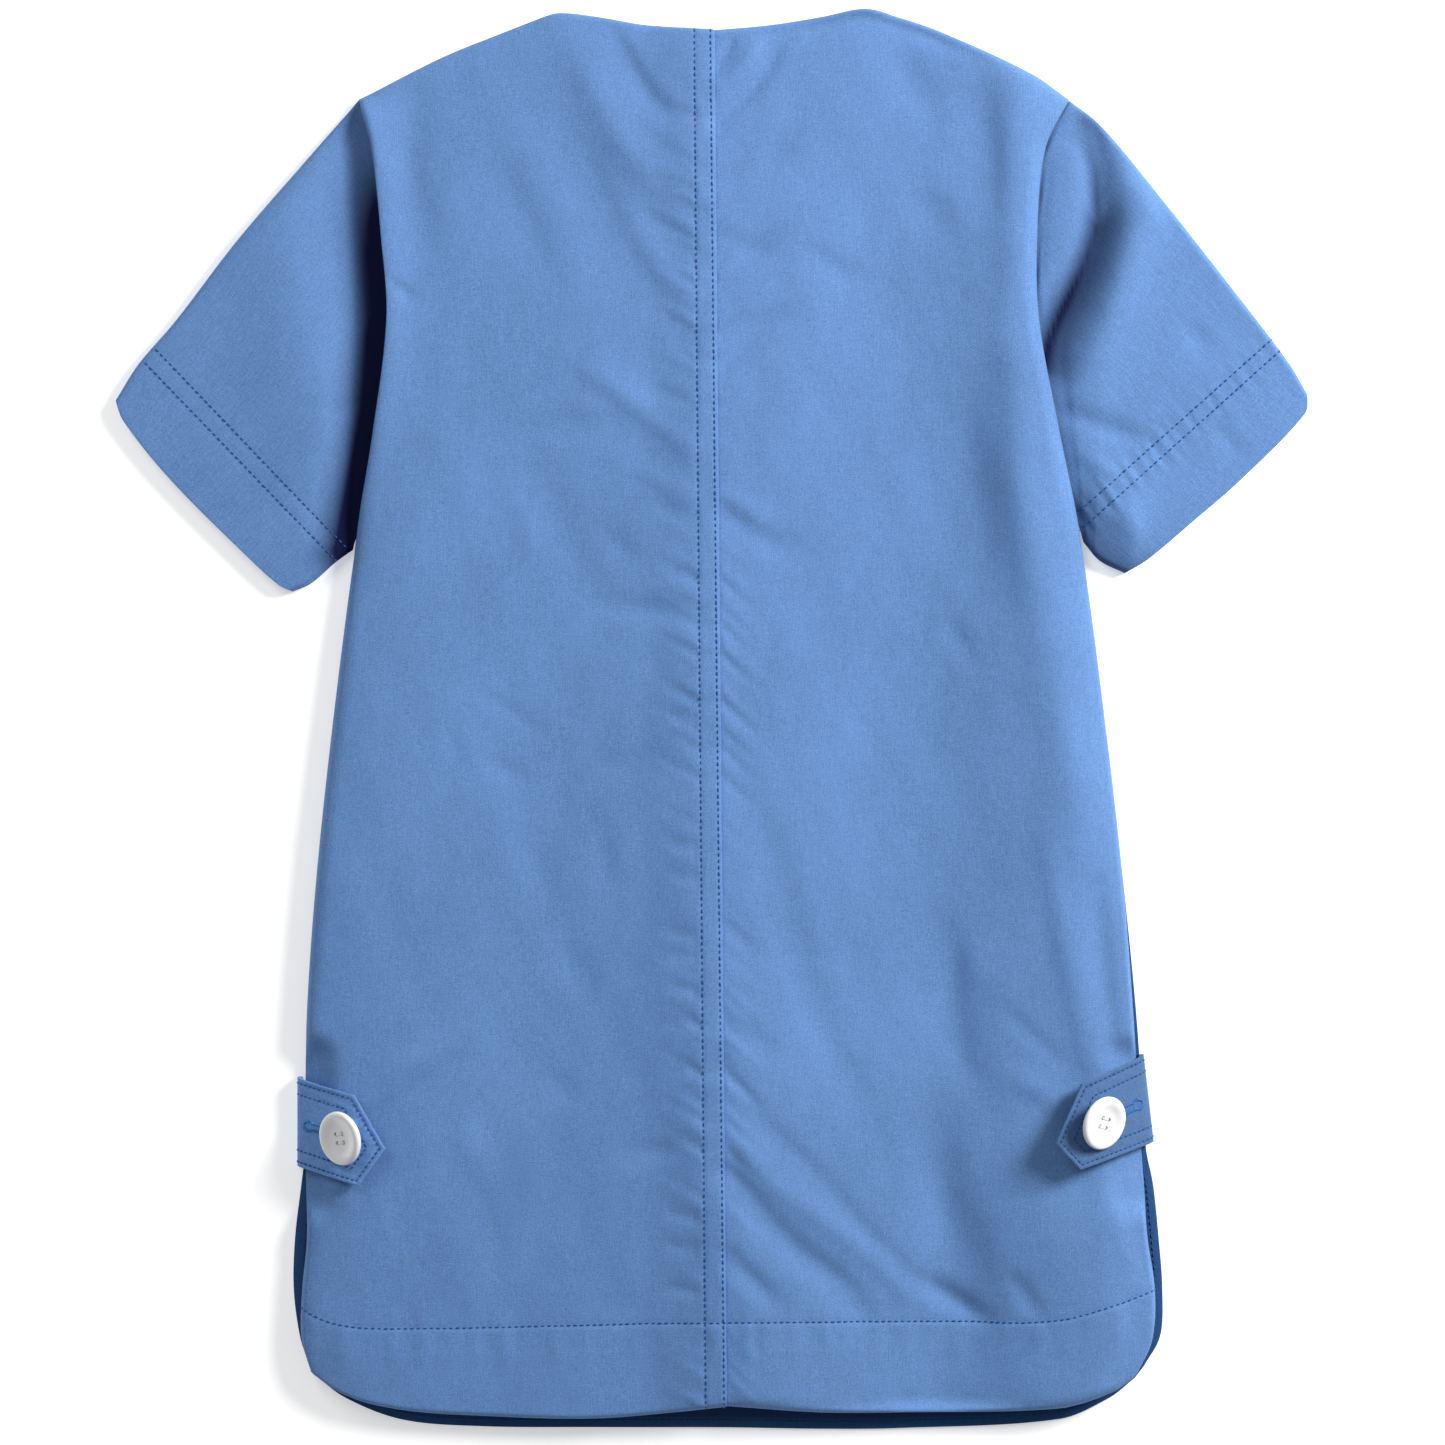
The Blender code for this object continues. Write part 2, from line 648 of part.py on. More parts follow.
def main():
    for old in list(bpy.data.objects):
        bpy.data.objects.remove(old)
    front_panel(plain_material("cloth_front", CLOTH_COLOUR, 0.85))
    for side in ("left", "right"):
        back_panel(side, plain_material("cloth_back_" + side, CLOTH_COLOUR, 0.85))
        sleeve(side, plain_material("cloth_sleeve_" + side, CLOTH_COLOUR, 0.85))
        tab(side, plain_material("cloth_tab_" + side, CLOTH_COLOUR, 0.85))
        button(side, button_mesh(), plain_material("button_" + side, BUTTON_COLOUR, 0.3))


main()
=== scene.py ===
"""Child's nurse uniform dress, laid flat with its back up: the dressed model round its CAD frame.

Tables and shapes are in millimetres: +X to the viewer's right, +Y towards the neck, +Z up from the
floor. Left and right are the viewer's, looking down on the back. Meshes are in metres.
"""

import math

import bmesh
import bpy
import numpy as np
from mathutils import Matrix, Vector
from mathutils.bvhtree import BVHTree


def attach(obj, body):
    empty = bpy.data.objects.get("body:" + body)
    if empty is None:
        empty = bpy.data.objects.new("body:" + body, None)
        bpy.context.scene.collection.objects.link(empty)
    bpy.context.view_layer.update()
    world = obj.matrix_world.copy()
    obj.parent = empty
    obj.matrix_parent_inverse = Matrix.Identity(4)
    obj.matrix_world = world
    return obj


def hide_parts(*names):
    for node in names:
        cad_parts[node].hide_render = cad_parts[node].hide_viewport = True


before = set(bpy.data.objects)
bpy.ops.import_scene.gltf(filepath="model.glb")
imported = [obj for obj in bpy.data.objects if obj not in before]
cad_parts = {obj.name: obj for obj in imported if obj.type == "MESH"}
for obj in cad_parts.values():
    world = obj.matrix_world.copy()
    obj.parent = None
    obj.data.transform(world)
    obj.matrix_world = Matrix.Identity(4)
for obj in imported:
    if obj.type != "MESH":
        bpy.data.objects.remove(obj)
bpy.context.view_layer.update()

bl_info = {
    "name": "Nurse Uniform Dress",
    "version": (1, 0, 0),
    "blender": (4, 5, 0),
    "location": "View3D > Sidebar > Uniform",
    "description": "Builds a nurse uniform dress laid flat, panel by panel",
    "category": "Object",
}

MM = 0.001

# Sizes that the CAD solids share.
CLOTH = 1.2                   # thickness of one layer of cloth
GAP = 0.3                     # space that two pieces keep at a seam
TAB_CLOTH = 2.0               # a tab is two layers sewn flat
SEAM_TOP = 1.3                # x of the lap's folded edge at the neck
SEAM_BOTTOM = 6.5             # and at the hem
LAP = 8.0                     # how far the right back panel runs under the left one
LAP_RAMP = 24.0               # width over which the left panel climbs onto the lap
LAP_RISE = CLOTH + 2 * GAP
TENT = 1.6                    # extra height along the centre seam
NECK_HALF = 64.0
V_BOTTOM = 127.0
NECK_FOOT = 5.6
SHOULDER_FOOT = 2.7
TOP_ROLL = 9.0
HEM_FOOT = 8.4
CORNER_FOOT = 6.4             # height of the back's hem at its rounded corners
CORNER_START = 150.0
HEM_ROLL = 30.0
BACK_WIDTH = 158.0            # usual width and length of a back panel
BACK_LENGTH = 578.0

BODY_COLUMNS = ("level", "left", "right", "front_left", "front_right")
BODY = (
    (261.0, -148.5, 150.6, 0.0, 0.0),
    (240.0, -142.8, 140.4, 0.0, 0.0),
    (202.0, -138.6, 136.9, 0.0, 0.0),
    (168.0, -136.3, 137.8, 0.0, 0.0),
    (120.0, -142.3, 146.6, 0.0, 0.0),
    (75.0, -149.7, 155.6, 0.0, 0.0),
    (0.0, -159.4, 165.7, 0.0, 0.0),
    (-70.0, -166.8, 173.5, 0.0, 0.3),
    (-125.0, -170.4, 177.6, 0.3, 1.6),
    (-180.0, -171.0, 180.8, 0.3, 2.3),
    (-196.0, -170.6, 182.0, 2.4, 4.2),
    (-218.0, -170.3, 183.5, 5.3, 5.0),
    (-240.0, -172.3, 186.6, 3.9, 3.5),
    (-260.0, -172.6, 185.6, 1.0, 3.6),
)

LOFT_COLUMNS = ("level", "top", "roll", "left_edge", "right_edge")
LOFT = (
    (300.0, 6.8, 9.0, 2.7, 2.7),
    (262.0, 7.2, 9.0, 3.6, 3.6),
    (248.0, 7.6, 9.0, 5.8, 5.5),
    (225.0, 7.9, 9.0, 7.4, 5.9),
    (165.0, 8.6, 10.0, 8.4, 6.2),
    (92.0, 9.5, 11.0, 8.2, 5.8),
    (68.0, 9.7, 12.0, 2.7, 2.7),
    (0.0, 10.6, 14.0, 2.7, 2.7),
    (-70.0, 11.5, 18.0, 2.7, 3.2),
    (-130.0, 12.2, 22.0, 3.4, 4.6),
    (-180.0, 12.4, 23.0, 4.6, 4.7),
    (-240.0, 12.0, 20.0, 4.6, 4.7),
    (-300.0, 11.6, 16.0, 4.6, 4.7),
)

TOP_EDGE = (
    (-148.5, 261.0), (-114.0, 278.7), (-89.3, 288.8), (-71.6, 295.5), (-63.6, 297.2),
    (-47.7, 295.5), (-27.5, 292.1), (1.3, 290.0), (24.6, 292.1), (46.0, 295.5),
    (64.9, 299.0), (80.0, 295.5), (98.9, 288.8), (135.0, 272.0), (150.6, 261.0),
)

HEM_COLUMNS = ("x", "back", "front")
HEM = (
    (-168.5, -274.4, -275.4),
    (-154.4, -283.7, -286.0),
    (-130.4, -289.8, -295.2),
    (-97.2, -292.3, -298.0),
    (-46.8, -293.4, -298.4),
    (6.5, -288.3, -298.5),
    (45.6, -290.9, -299.1),
    (79.2, -290.9, -298.8),
    (146.4, -289.2, -295.0),
    (167.8, -282.8, -286.0),
    (178.5, -275.6, -277.6),
)

# Broad folds of the back, each a soft ridge, or a trough where its height is negative.
FOLDS = (
    (-42.0, 150.0, -38.0, -230.0, 30.0, -0.6),
    (-78.0, 118.0, -36.0, 22.0, 9.0, -0.8),
    (88.0, -178.0, 118.0, -252.0, 12.0, -1.2),
)

SLEEVES = {
    "left": {
        "fold": ((-148.7, 260.9), (-171.2, 235.0), (-200.1, 201.4), (-225.8, 167.8),
                 (-241.5, 149.5), (-250.9, 134.6)),
        "cuff": ((-250.9, 134.6), (-247.4, 125.5), (-227.4, 100.6), (-193.8, 67.0),
                 (-182.0, 56.5), (-176.4, 53.8)),
        "underarm": ((-151.3, 71.4), (-158.6, 66.0), (-168.6, 57.3), (-176.4, 53.8)),
    },
    "right": {
        "fold": ((150.8, 260.9), (164.0, 250.3), (190.5, 218.2), (216.9, 184.6),
                 (242.6, 151.0), (250.9, 137.2)),
        "cuff": ((250.9, 137.2), (249.6, 128.6), (222.4, 100.6), (203.1, 83.8),
                 (183.5, 67.3), (174.0, 61.6)),
        "underarm": ((156.9, 74.6), (163.4, 66.9), (174.0, 61.6)),
    },
}
SLEEVE_SEAM = (253.0, 78.0)
TUCK = 5.0
TUCK_END = 0.08               # share of a sleeve's length over which the tuck runs out
SEAM_DROP = {"left": 0.035, "right": 0.14}
WINDOW = (0.87, 0.50)         # direction, seen from above, that the main light comes from
SEAM_CLEARANCE = 0.75
# Extra height of the back's edge over each armhole: height, width, and the levels it spans.
EDGE_LIFT = {"left": (2.9, 9.5, 262.0, 110.0), "right": (0.0, 9.0, 236.0, 92.0)}
TAB_LEVELS = (-143.0, -200.0)  # between these the sides lie flatter, under the tabs
SLEEVE_PROFILE_COLUMNS = ("along", "top")
SLEEVE_PROFILE = (
    (0.0, 3.6),
    (0.04, 3.7),
    (0.14, 4.9),
    (0.32, 6.0),
    (0.60, 6.2),
    (0.85, 5.9),
    (1.0, 5.6),
)

TABS = {
    "left": {"root_top": (-174.4, -150.6), "shoulder_top": (-149.2, -156.7),
             "tip": (-135.9, -178.8), "shoulder_bottom": (-147.3, -194.7),
             "root_bottom": (-174.4, -187.6), "tip_lift": 0.0},
    "right": {"root_top": (182.0, -141.0), "shoulder_top": (154.6, -151.8),
              "tip": (143.2, -176.2), "shoulder_bottom": (153.9, -187.6),
              "root_bottom": (186.2, -177.4), "tip_lift": 2.5},
}
TAB_PROFILE_COLUMNS = ("from_fold", "top")
TAB_PROFILE = (
    (1.6, 7.7),
    (4.5, 9.5),
    (9.0, 11.8),
    (14.0, 14.1),
    (19.0, 16.3),
    (25.0, 18.5),
    (32.0, 20.2),
    (41.0, 21.8),
)
TAB_WALL = ((0.0, 0.4), (0.0, 2.6), (0.1, 4.6), (0.6, 6.4), (1.6, 7.7))

BUTTONS = {
    "left": {"centre": (-153.6, -174.4), "lean": 12.0, "stand": 2.3},
    "right": {"centre": (162.4, -167.6), "lean": -20.0, "stand": 2.9},
}
BUTTON_RADIUS = 11.45
BUTTON_THICKNESS = 3.4
BUTTON_TILT = 39.0
BUTTON_HOLE_RADIUS = 0.95
BUTTON_HOLE_SPACING = 3.7

# Creases of the back. A row is the crease's path, its half width on the side towards the window
# and on the other side, its height (a trough where negative), and how strong it is at each end.
BACK_CREASES = (
    # Broad: the hollow and the swell down the right half, then the same on the left.
    (((84, 285), (86, 220), (88, 120), (88, 0), (87, -120), (89, -200), (93, -288)),
     32.0, 62.0, -5.6, 0.5, 1.0),
    (((133, 262), (134, 200), (137, 140), (142, 80), (147, 20), (152, -50), (157, -120)),
     14.0, 42.0, 2.8, 0.4, 0.5),
    (((12, -100), (16, -200), (20, -285)), 66.0, 24.0, 3.8, 0.1, 1.0),
    (((158, -195), (163, -235), (158, -275)), 12.0, 46.0, 3.6, 0.3, 0.8),
    (((-140, 150), (-149, 60), (-156, -20), (-160, -120), (-158, -250)), 44.0, 14.0, 2.0, 0.2, 0.6),
    (((-80, 130), (-76, 60), (-73, -20), (-70, -120), (-66, -240)), 34.0, 34.0, -2.0, 0.3, 0.3),
    # Left of the seam, chest.
    (((-41, 289), (-34, 276), (-26, 263), (-17, 255), (-8, 253)), 3.2, 6.0, -1.15, 0.4, 0.7),
    (((-61, 284), (-48, 261), (-37, 241), (-25, 228), (-9, 223)), 8.0, 7.0, 1.5, 0.2, 0.5),
    (((-69, 262), (-61, 250), (-50, 228), (-41, 208), (-31, 187), (-18, 170)), 6.0, 12.0, -0.9, 0.1, 0.4),
    (((-30, 206), (-22, 190), (-9, 178)), 5.0, 5.0, 0.6, 0.2, 0.6),
    (((-29, 229), (-18, 225), (-8, 221)), 2.4, 3.5, -0.6, 0.3, 0.8),
    (((-29, 212), (-18, 206), (-8, 199)), 2.6, 4.0, -0.7, 0.3, 0.8),
    (((-20, 195), (-8, 186)), 2.6, 3.5, -0.45, 0.1, 0.8),
    (((-17, 161), (-8, 156)), 3.0, 4.0, -0.55, 0.1, 0.9),
    (((-26, 138), (-8, 135)), 2.4, 3.5, -0.4, 0.1, 0.8),
    (((-60, 152), (-40, 138), (-22, 124), (-9, 112)), 7.0, 4.5, 1.0, 0.15, 0.8),
    (((-86, 119), (-61, 124), (-34, 121)), 4.0, 10.0, -0.7, 0.3, 0.3),
    (((-34, 107), (-20, 99), (-9, 93)), 4.5, 4.0, 0.6, 0.1, 0.6),
    (((-24, 90), (-8, 85)), 2.6, 3.5, -0.5, 0.2, 0.8),
    (((-103, 236), (-90, 230), (-79, 211), (-71, 192), (-64, 182)), 7.0, 11.0, -0.9, 0.1, 0.1),
    (((-126, 262), (-125, 225), (-121, 192)), 9.0, 7.0, -1.1, 0.7, 0.2),
    (((-134, 183), (-128, 179), (-123, 176)), 2.2, 3.5, -0.9, 0.9, 0.1),
    # Right of the seam, chest.
    (((3, 252), (15, 263), (24, 274), (30, 286)), 3.0, 5.0, -1.9, 0.8, 0.2),
    (((3, 265), (14, 276), (22, 288)), 3.0, 3.0, 1.1, 0.7, 0.2),
    (((3, 276), (11, 286)), 2.4, 2.8, -1.0, 0.8, 0.2),
    (((3, 186), (16, 196), (29, 206)), 3.0, 5.0, -1.2, 0.7, 0.1),
    (((3, 224), (18, 231), (34, 243)), 4.0, 6.0, -1.0, 0.6, 0.1),
    (((36, 266), (33, 245), (25, 224)), 7.0, 7.0, -0.6, 0.3, 0.3),
    (((79, 281), (86, 268), (93, 254)), 8.0, 8.0, -0.9, 0.4, 0.4),
    (((84, 220), (95, 212), (103, 200)), 6.0, 8.0, -0.8, 0.1, 0.4),
    (((35, 200), (45, 195), (57, 188), (69, 184)), 4.0, 7.0, -0.8, 0.2, 0.1),
    (((4, 203), (16, 198), (27, 195)), 3.5, 4.0, -0.5, 0.7, 0.2),
    (((5, 150), (19, 164), (34, 174)), 4.0, 7.0, -1.8, 0.6, 0.2),
    (((5, 95), (17, 87), (28, 82)), 4.0, 4.0, 0.6, 0.7, 0.1),
    (((7, 85), (23, 75), (39, 72)), 4.5, 6.0, -1.0, 0.7, 0.2),
    # The ridge inside the right side, and the hollow beside it.
    (((126, 266), (126, 240), (127, 210), (127, 190)), 12.0, 7.0, 1.6, 0.6, 0.4),
    (((112, 268), (115, 240), (118, 205)), 8.0, 14.0, -1.6, 0.5, 0.3),
    (((126, 195), (126, 172), (127, 150)), 10.0, 8.0, 0.9, 0.6, 0.6),
    (((127, 150), (127, 120), (130, 90), (134, 60), (138, 35)), 12.0, 8.0, 2.0, 0.5, 0.4),
    (((106, 140), (109, 110), (112, 80), (116, 55)), 8.0, 14.0, -1.8, 0.3, 0.3),
    (((99, -80), (100, -125), (107, -155)), 16.0, 18.0, -1.3, 0.2, 0.3),
    (((98, -196), (102, -232), (108, -262)), 14.0, 16.0, -1.6, 0.2, 0.5),
    (((141, 25), (146, -15), (150, -50)), 12.0, 12.0, 1.5, 0.6, 0.4),
    (((99, 46), (104, 33), (111, 20)), 5.0, 6.0, -0.8, 0.2, 0.2),
    (((140, -50), (149, -100), (158, -142)), 7.0, 5.0, 1.2, 0.2, 0.6),
    (((161, -70), (164, -105), (169, -138)), 4.5, 5.0, -1.2, 0.4, 0.8),
    # Left, waist and skirt.
    (((-83, 96), (-78, 80), (-72, 62)), 4.0, 8.0, 0.4, 0.6, 0.1),
    (((-47, 81), (-38, 72), (-30, 66)), 4.5, 6.0, -0.7, 0.2, 0.3),
    (((-45, 47), (-26, 46), (-8, 44)), 5.0, 5.0, -1.1, 0.3, 0.5),
    (((-103, 14), (-86, 5), (-70, -6)), 2.4, 3.5, -0.4, 0.1, 0.3),
    (((-111, 4), (-107, -14), (-97, -30)), 2.4, 3.2, -0.35, 0.1, 0.2),
    (((-95, -17), (-85, -22), (-76, -25)), 4.0, 5.0, -0.6, 0.3, 0.3),
    (((-46, -22), (-30, -17), (-20, -11)), 4.5, 6.0, -0.8, 0.3, 0.3),
    (((-46, -44), (-45, -58), (-45, -72)), 5.0, 5.0, -0.8, 0.4, 0.3),
    (((-79, -50), (-71, -66), (-67, -80)), 6.0, 7.0, -0.5, 0.2, 0.2),
    (((-62, -90), (-58, -103), (-50, -114)), 7.0, 8.0, -0.7, 0.3, 0.3),
    (((-74, -144), (-62, -156), (-53, -163)), 6.0, 7.0, -0.6, 0.1, 0.1),
    (((-36, -183), (-24, -181), (-10, -178)), 4.5, 5.0, -0.9, 0.3, 0.4),
    (((-143, -168), (-120, -152), (-102, -138)), 3.5, 4.0, -1.3, 0.9, 0.1),
    (((-146, -160), (-134, -147), (-121, -138)), 4.0, 5.0, 1.2, 0.8, 0.1),
    (((-104, -168), (-101, -178), (-95, -188)), 5.5, 7.0, 0.7, 0.2, 0.3),
    (((-98, -196), (-91, -217), (-89, -236)), 5.0, 9.0, -0.5, 0.3, 0.1),
    # Right, skirt.
    (((8, -14), (18, -36), (27, -60), (34, -87), (42, -117), (53, -144), (65, -168), (74, -197)),
     7.0, 11.0, -1.15, 0.5, 0.2),
    (((6, -87), (18, -97)), 3.0, 3.5, -0.6, 0.8, 0.1),
    (((7, -124), (17, -132), (27, -141)), 3.5, 4.0, -0.8, 0.8, 0.1),
    (((5, -144), (22, -168), (43, -189), (67, -216), (84, -233)), 3.2, 6.0, -0.8, 0.6, 0.6),
    (((88, -235), (101, -243), (114, -251)), 4.5, 5.0, -2.0, 0.3, 0.6),
    (((8, -189), (21, -206), (36, -222), (53, -235), (64, -249)), 5.0, 7.5, -2.1, 0.7, 0.4),
    (((11, -179), (28, -196), (48, -211), (68, -227), (82, -243)), 5.0, 4.0, 0.9, 0.4, 0.4),
    (((8, -225), (18, -235), (28, -246)), 4.0, 5.0, -1.3, 0.8, 0.3),
    (((101, -93), (103, -125), (106, -143), (117, -156)), 4.5, 7.0, -0.8, 0.2, 0.2),
    (((108, -90), (110, -115)), 7.0, 5.0, 0.7, 0.2, 0.2),
    (((94, -165), (96, -195), (98, -224)), 9.0, 9.0, -1.2, 0.2, 0.2),
    (((122, -121), (133, -131), (144, -142)), 3.5, 4.0, -0.7, 0.1, 0.6),
    (((126, -150), (138, -156), (145, -161)), 6.0, 5.0, 0.9, 0.2, 0.6),
    (((125, -231), (137, -250)), 4.0, 4.0, -1.0, 0.2, 0.5),
    (((165, -194), (172, -215), (177, -238)), 4.5, 5.0, 0.9, 0.4, 0.3),
)
# Levels of the short dents that end at the left row of the centre seam.
SEAM_DENTS = (60.0, 1.0, -53.0, -66.0, -90.0, -99.0, -113.0, -128.0, -148.0, -208.0, -221.0, -239.0)

SLEEVE_CREASES = {
    "left": (
        (((-145, 250), (-142, 225), (-139, 180), (-142, 140), (-147, 105), (-151, 85)),
         6.0, 12.0, -4.5, 0.7, 0.6),
        (((-166, 250), (-175, 232), (-179, 205), (-178, 178), (-173, 146), (-163, 108), (-157, 90)),
         17.0, 24.0, 3.1, 0.3, 0.4),
        (((-164, 80), (-158, 75)), 3.0, 3.0, -0.6, 0.5, 0.5),
        (((-160, 72), (-156, 67)), 2.6, 2.6, -0.5, 0.5, 0.5),
    ),
    "right": (
        (((146, 252), (152, 246), (158, 241)), 4.0, 4.0, -1.2, 0.6, 0.3),
        (((146, 244), (144, 205), (142, 175)), 7.0, 2.0, 1.5, 0.3, 0.3),
        (((158, 251), (162.5, 228), (161.5, 207), (151.5, 180), (140, 153)), 8.0, 6.0, -3.2, 0.6, 0.6),
        (((172, 242), (177, 216), (173, 190), (166, 166), (158, 146), (152, 126)),
         12.0, 9.0, 4.2, 0.15, 0.3),
        (((182, 225), (186, 206)), 5.0, 5.0, 0.8, 0.2, 0.2),
        (((150, 128), (165, 123), (182, 117)), 5.0, 5.0, -1.4, 0.8, 0.2),
        (((155, 112), (163, 107), (171, 101)), 4.0, 4.0, 1.0, 0.5, 0.2),
        (((160, 104), (172, 88), (188, 76)), 16.0, 10.0, 1.6, 0.3, 0.1),
        (((198, 168), (204, 160), (210, 152)), 5.0, 5.0, -0.7, 0.2, 0.2),
        (((175, 90), (177, 80), (176, 70)), 4.0, 7.0, 1.2, 0.4, 0.6),
        (((210, 126), (217, 118), (223, 110)), 4.0, 4.0, -0.6, 0.3, 0.3),
    ),
}
# Painted shade on a sleeve beside the armhole, where the body's edge casts its shadow and the fold lies in
# shade: the line, how far the painted shade reaches towards the window and away from it, and how strong it
# is at each end.
SLEEVE_PAINTED_SHADE = {
    "left": (
        (((-149, 259), (-143.5, 241), (-141.5, 224), (-138.5, 203), (-136.6, 182), (-136, 167), (-139, 136)),
         3.0, 24.0, 0.4, 1.9),
        (((-136, 167), (-139, 136), (-143, 115), (-147, 94), (-151, 72)), 3.0, 22.0, 2.2, 1.9),
    ),
    "right": (
        (((157, 251), (160.5, 238), (162.5, 222), (162, 207), (157.5, 193)), 8.0, 6.5, 0.35, 0.8),
        (((162, 207), (157.5, 193), (151.5, 180), (146, 169), (142, 159), (139.5, 149)),
         23.0, 7.0, 0.9, 1.1),
        (((150.5, 260), (143, 246), (140, 236), (138.6, 218), (137.5, 200), (137.4, 186), (138.5, 165)),
         1.5, 1.2, 0.7, 0.8),
        (((148, 250), (149, 225), (148, 195)), 13.0, 13.0, 0.12, 0.12),
        (((139, 165), (143, 145), (147, 120), (152, 92), (157, 66)), 6.0, 2.0, 0.25, 0.2),
        (((151, 84), (160, 70), (174, 58)), 24.0, 3.0, 0.75, 0.7),
    ),
}

# Rows of stitching: the two down the centre, at their distances from the lap's folded edge, the
# hem's row, and the two round each sleeve's cuff.
CENTRE_ROWS = ((8.4, 8.7), (1.7, 1.1))
HEM_ROW = (
    (-173.0, -246.6), (-166.2, -250.0), (-160.3, -252.4), (-146.3, -254.8), (-116.4, -255.0),
    (-90.4, -254.6), (-46.8, -253.5), (1.5, -252.2), (79.2, -252.6), (125.0, -252.8),
    (137.3, -252.2), (149.7, -250.6), (162.0, -247.2), (174.4, -243.4), (186.0, -239.2),
)
CUFF_ROWS = {
    "left": (((-233.1, 155.2), (-154.4, 73.0)), ((-237.6, 149.5), (-158.1, 67.0))),
    "right": (((235.8, 160.0), (153.9, 86.8)), ((238.8, 154.8), (155.4, 79.8))),
}
FRONT_RIM = 3.8               # width of the front's turned edge
FRONT_HEM_ROW = 3.0           # distance of the front's row from its own edge
TAB_ROWS = (1.9, 6.6)         # distances of a tab's two rows from its edges

# The weave's direction on each piece, in degrees from +Y.
GRAIN = {"front": 0.0, "back_left": 1.2, "back_right": -1.0, "sleeve_left": 46.0,
         "sleeve_right": -47.0, "tab_left": 76.0, "tab_right": 65.0}


def look_up(rows, columns, name, places):
    """One column of a table, read at places between its rows."""
    ordered = sorted(rows)
    column = columns.index(name)
    return np.interp(places, [row[0] for row in ordered], [row[column] for row in ordered])


class Path:
    """A smooth curve through a few points, read by its share from 0 to 1."""

    def __init__(self, points):
        self.points = np.array([tuple(point) for point in points], float)
        steps = np.linalg.norm(np.diff(self.points, axis=0), axis=1)
        self.stops = np.concatenate(([0.0], np.cumsum(steps)))
        index = np.arange(len(self.points))
        before = np.maximum(index - 1, 0)
        after = np.minimum(index + 1, len(self.points) - 1)
        run = (self.stops[after] - self.stops[before])[:, None]
        self.tangents = (self.points[after] - self.points[before]) / run

    @property
    def length(self):
        return self.stops[-1]

    def at(self, shares):
        shares = np.asarray(shares, float)
        place = np.clip(shares, 0.0, 1.0) * self.stops[-1]
        index = np.clip(np.searchsorted(self.stops, place, side="left") - 1, 0, len(self.stops) - 2)
        length = self.stops[index + 1] - self.stops[index]
        t = ((place - self.stops[index]) / length)[..., None]
        length = length[..., None]
        return (
            self.points[index] * (2 * t ** 3 - 3 * t ** 2 + 1)
            + self.tangents[index] * length * (t ** 3 - 2 * t ** 2 + t)
            + self.points[index + 1] * (3 * t ** 2 - 2 * t ** 3)
            + self.tangents[index + 1] * length * (t ** 3 - t ** 2)
        )


def patch(low, high, start, end, across, down):
    """Points of the surface between four border curves: a row for each share in down."""
    u = np.asarray(across)[None, :, None]
    v = np.asarray(down)[:, None, None]
    rows = low.at(across)[None] * (1 - v) + high.at(across)[None] * v
    columns = start.at(down)[:, None] * (1 - u) + end.at(down)[:, None] * u
    corners = (
        low.at(0.0) * (1 - u) * (1 - v) + low.at(1.0) * u * (1 - v)
        + high.at(0.0) * (1 - u) * v + high.at(1.0) * u * v
    )
    return rows + columns - corners


def spaced(length, stops):
    """Shares of a length: stops are (distance, step) pairs, each step kept up to its distance."""
    places = [0.0]
    for distance, step in stops:
        distance = length + distance if distance <= 0.0 else distance
        start = places[-1]
        count = max(1, round((distance - start) / step))
        places += [start + (distance - start) * index / count for index in range(1, count + 1)]
    return np.array(places) / length


def rounding(distance, width):
    """0 at an edge, rising to 1 where its rounding ends."""
    return np.sin(np.pi / 2 * np.clip(distance / width, 0.0, 1.0))


def rim(distance, width):
    """0 at an edge, rising round a quarter circle to 1."""
    return np.sqrt(1.0 - (1.0 - np.clip(distance / width, 0.0, 1.0)) ** 2)


def smooth_step(value, low, high):
    share = np.clip((value - low) / (high - low), 0.0, 1.0)
    return share * share * (3 - 2 * share)


def seam_x(level):
    share = (TOP_EDGE[7][1] - level) / (TOP_EDGE[7][1] - HEM[5][1])
    return SEAM_TOP + (SEAM_BOTTOM - SEAM_TOP) * share


def polyline_distance(x, y, points):
    """Distance from each place to a line of points, the share along the line of its nearest
    point, and how far the place lies towards the window, from 0 to 1."""
    best = np.full(x.shape, 1e9)
    share = np.zeros(x.shape)
    sunny = np.zeros(x.shape)
    stops = np.concatenate(([0.0], np.cumsum(np.linalg.norm(np.diff(points, axis=0), axis=1))))
    for index in range(len(points) - 1):
        start = points[index]
        run = points[index + 1] - start
        size = run.dot(run)
        t = np.clip(((x - start[0]) * run[0] + (y - start[1]) * run[1]) / size, 0.0, 1.0)
        off_x, off_y = x - start[0] - run[0] * t, y - start[1] - run[1] * t
        distance = np.hypot(off_x, off_y)
        nearer = distance < best
        best = np.where(nearer, distance, best)
        here = (stops[index] + t * math.sqrt(size)) / stops[-1]
        share = np.where(nearer, here, share)
        lean = (off_x * WINDOW[0] + off_y * WINDOW[1]) / np.maximum(distance, 1e-6)
        sunny = np.where(nearer, 0.5 + 0.5 * lean, sunny)
    return best, share, sunny


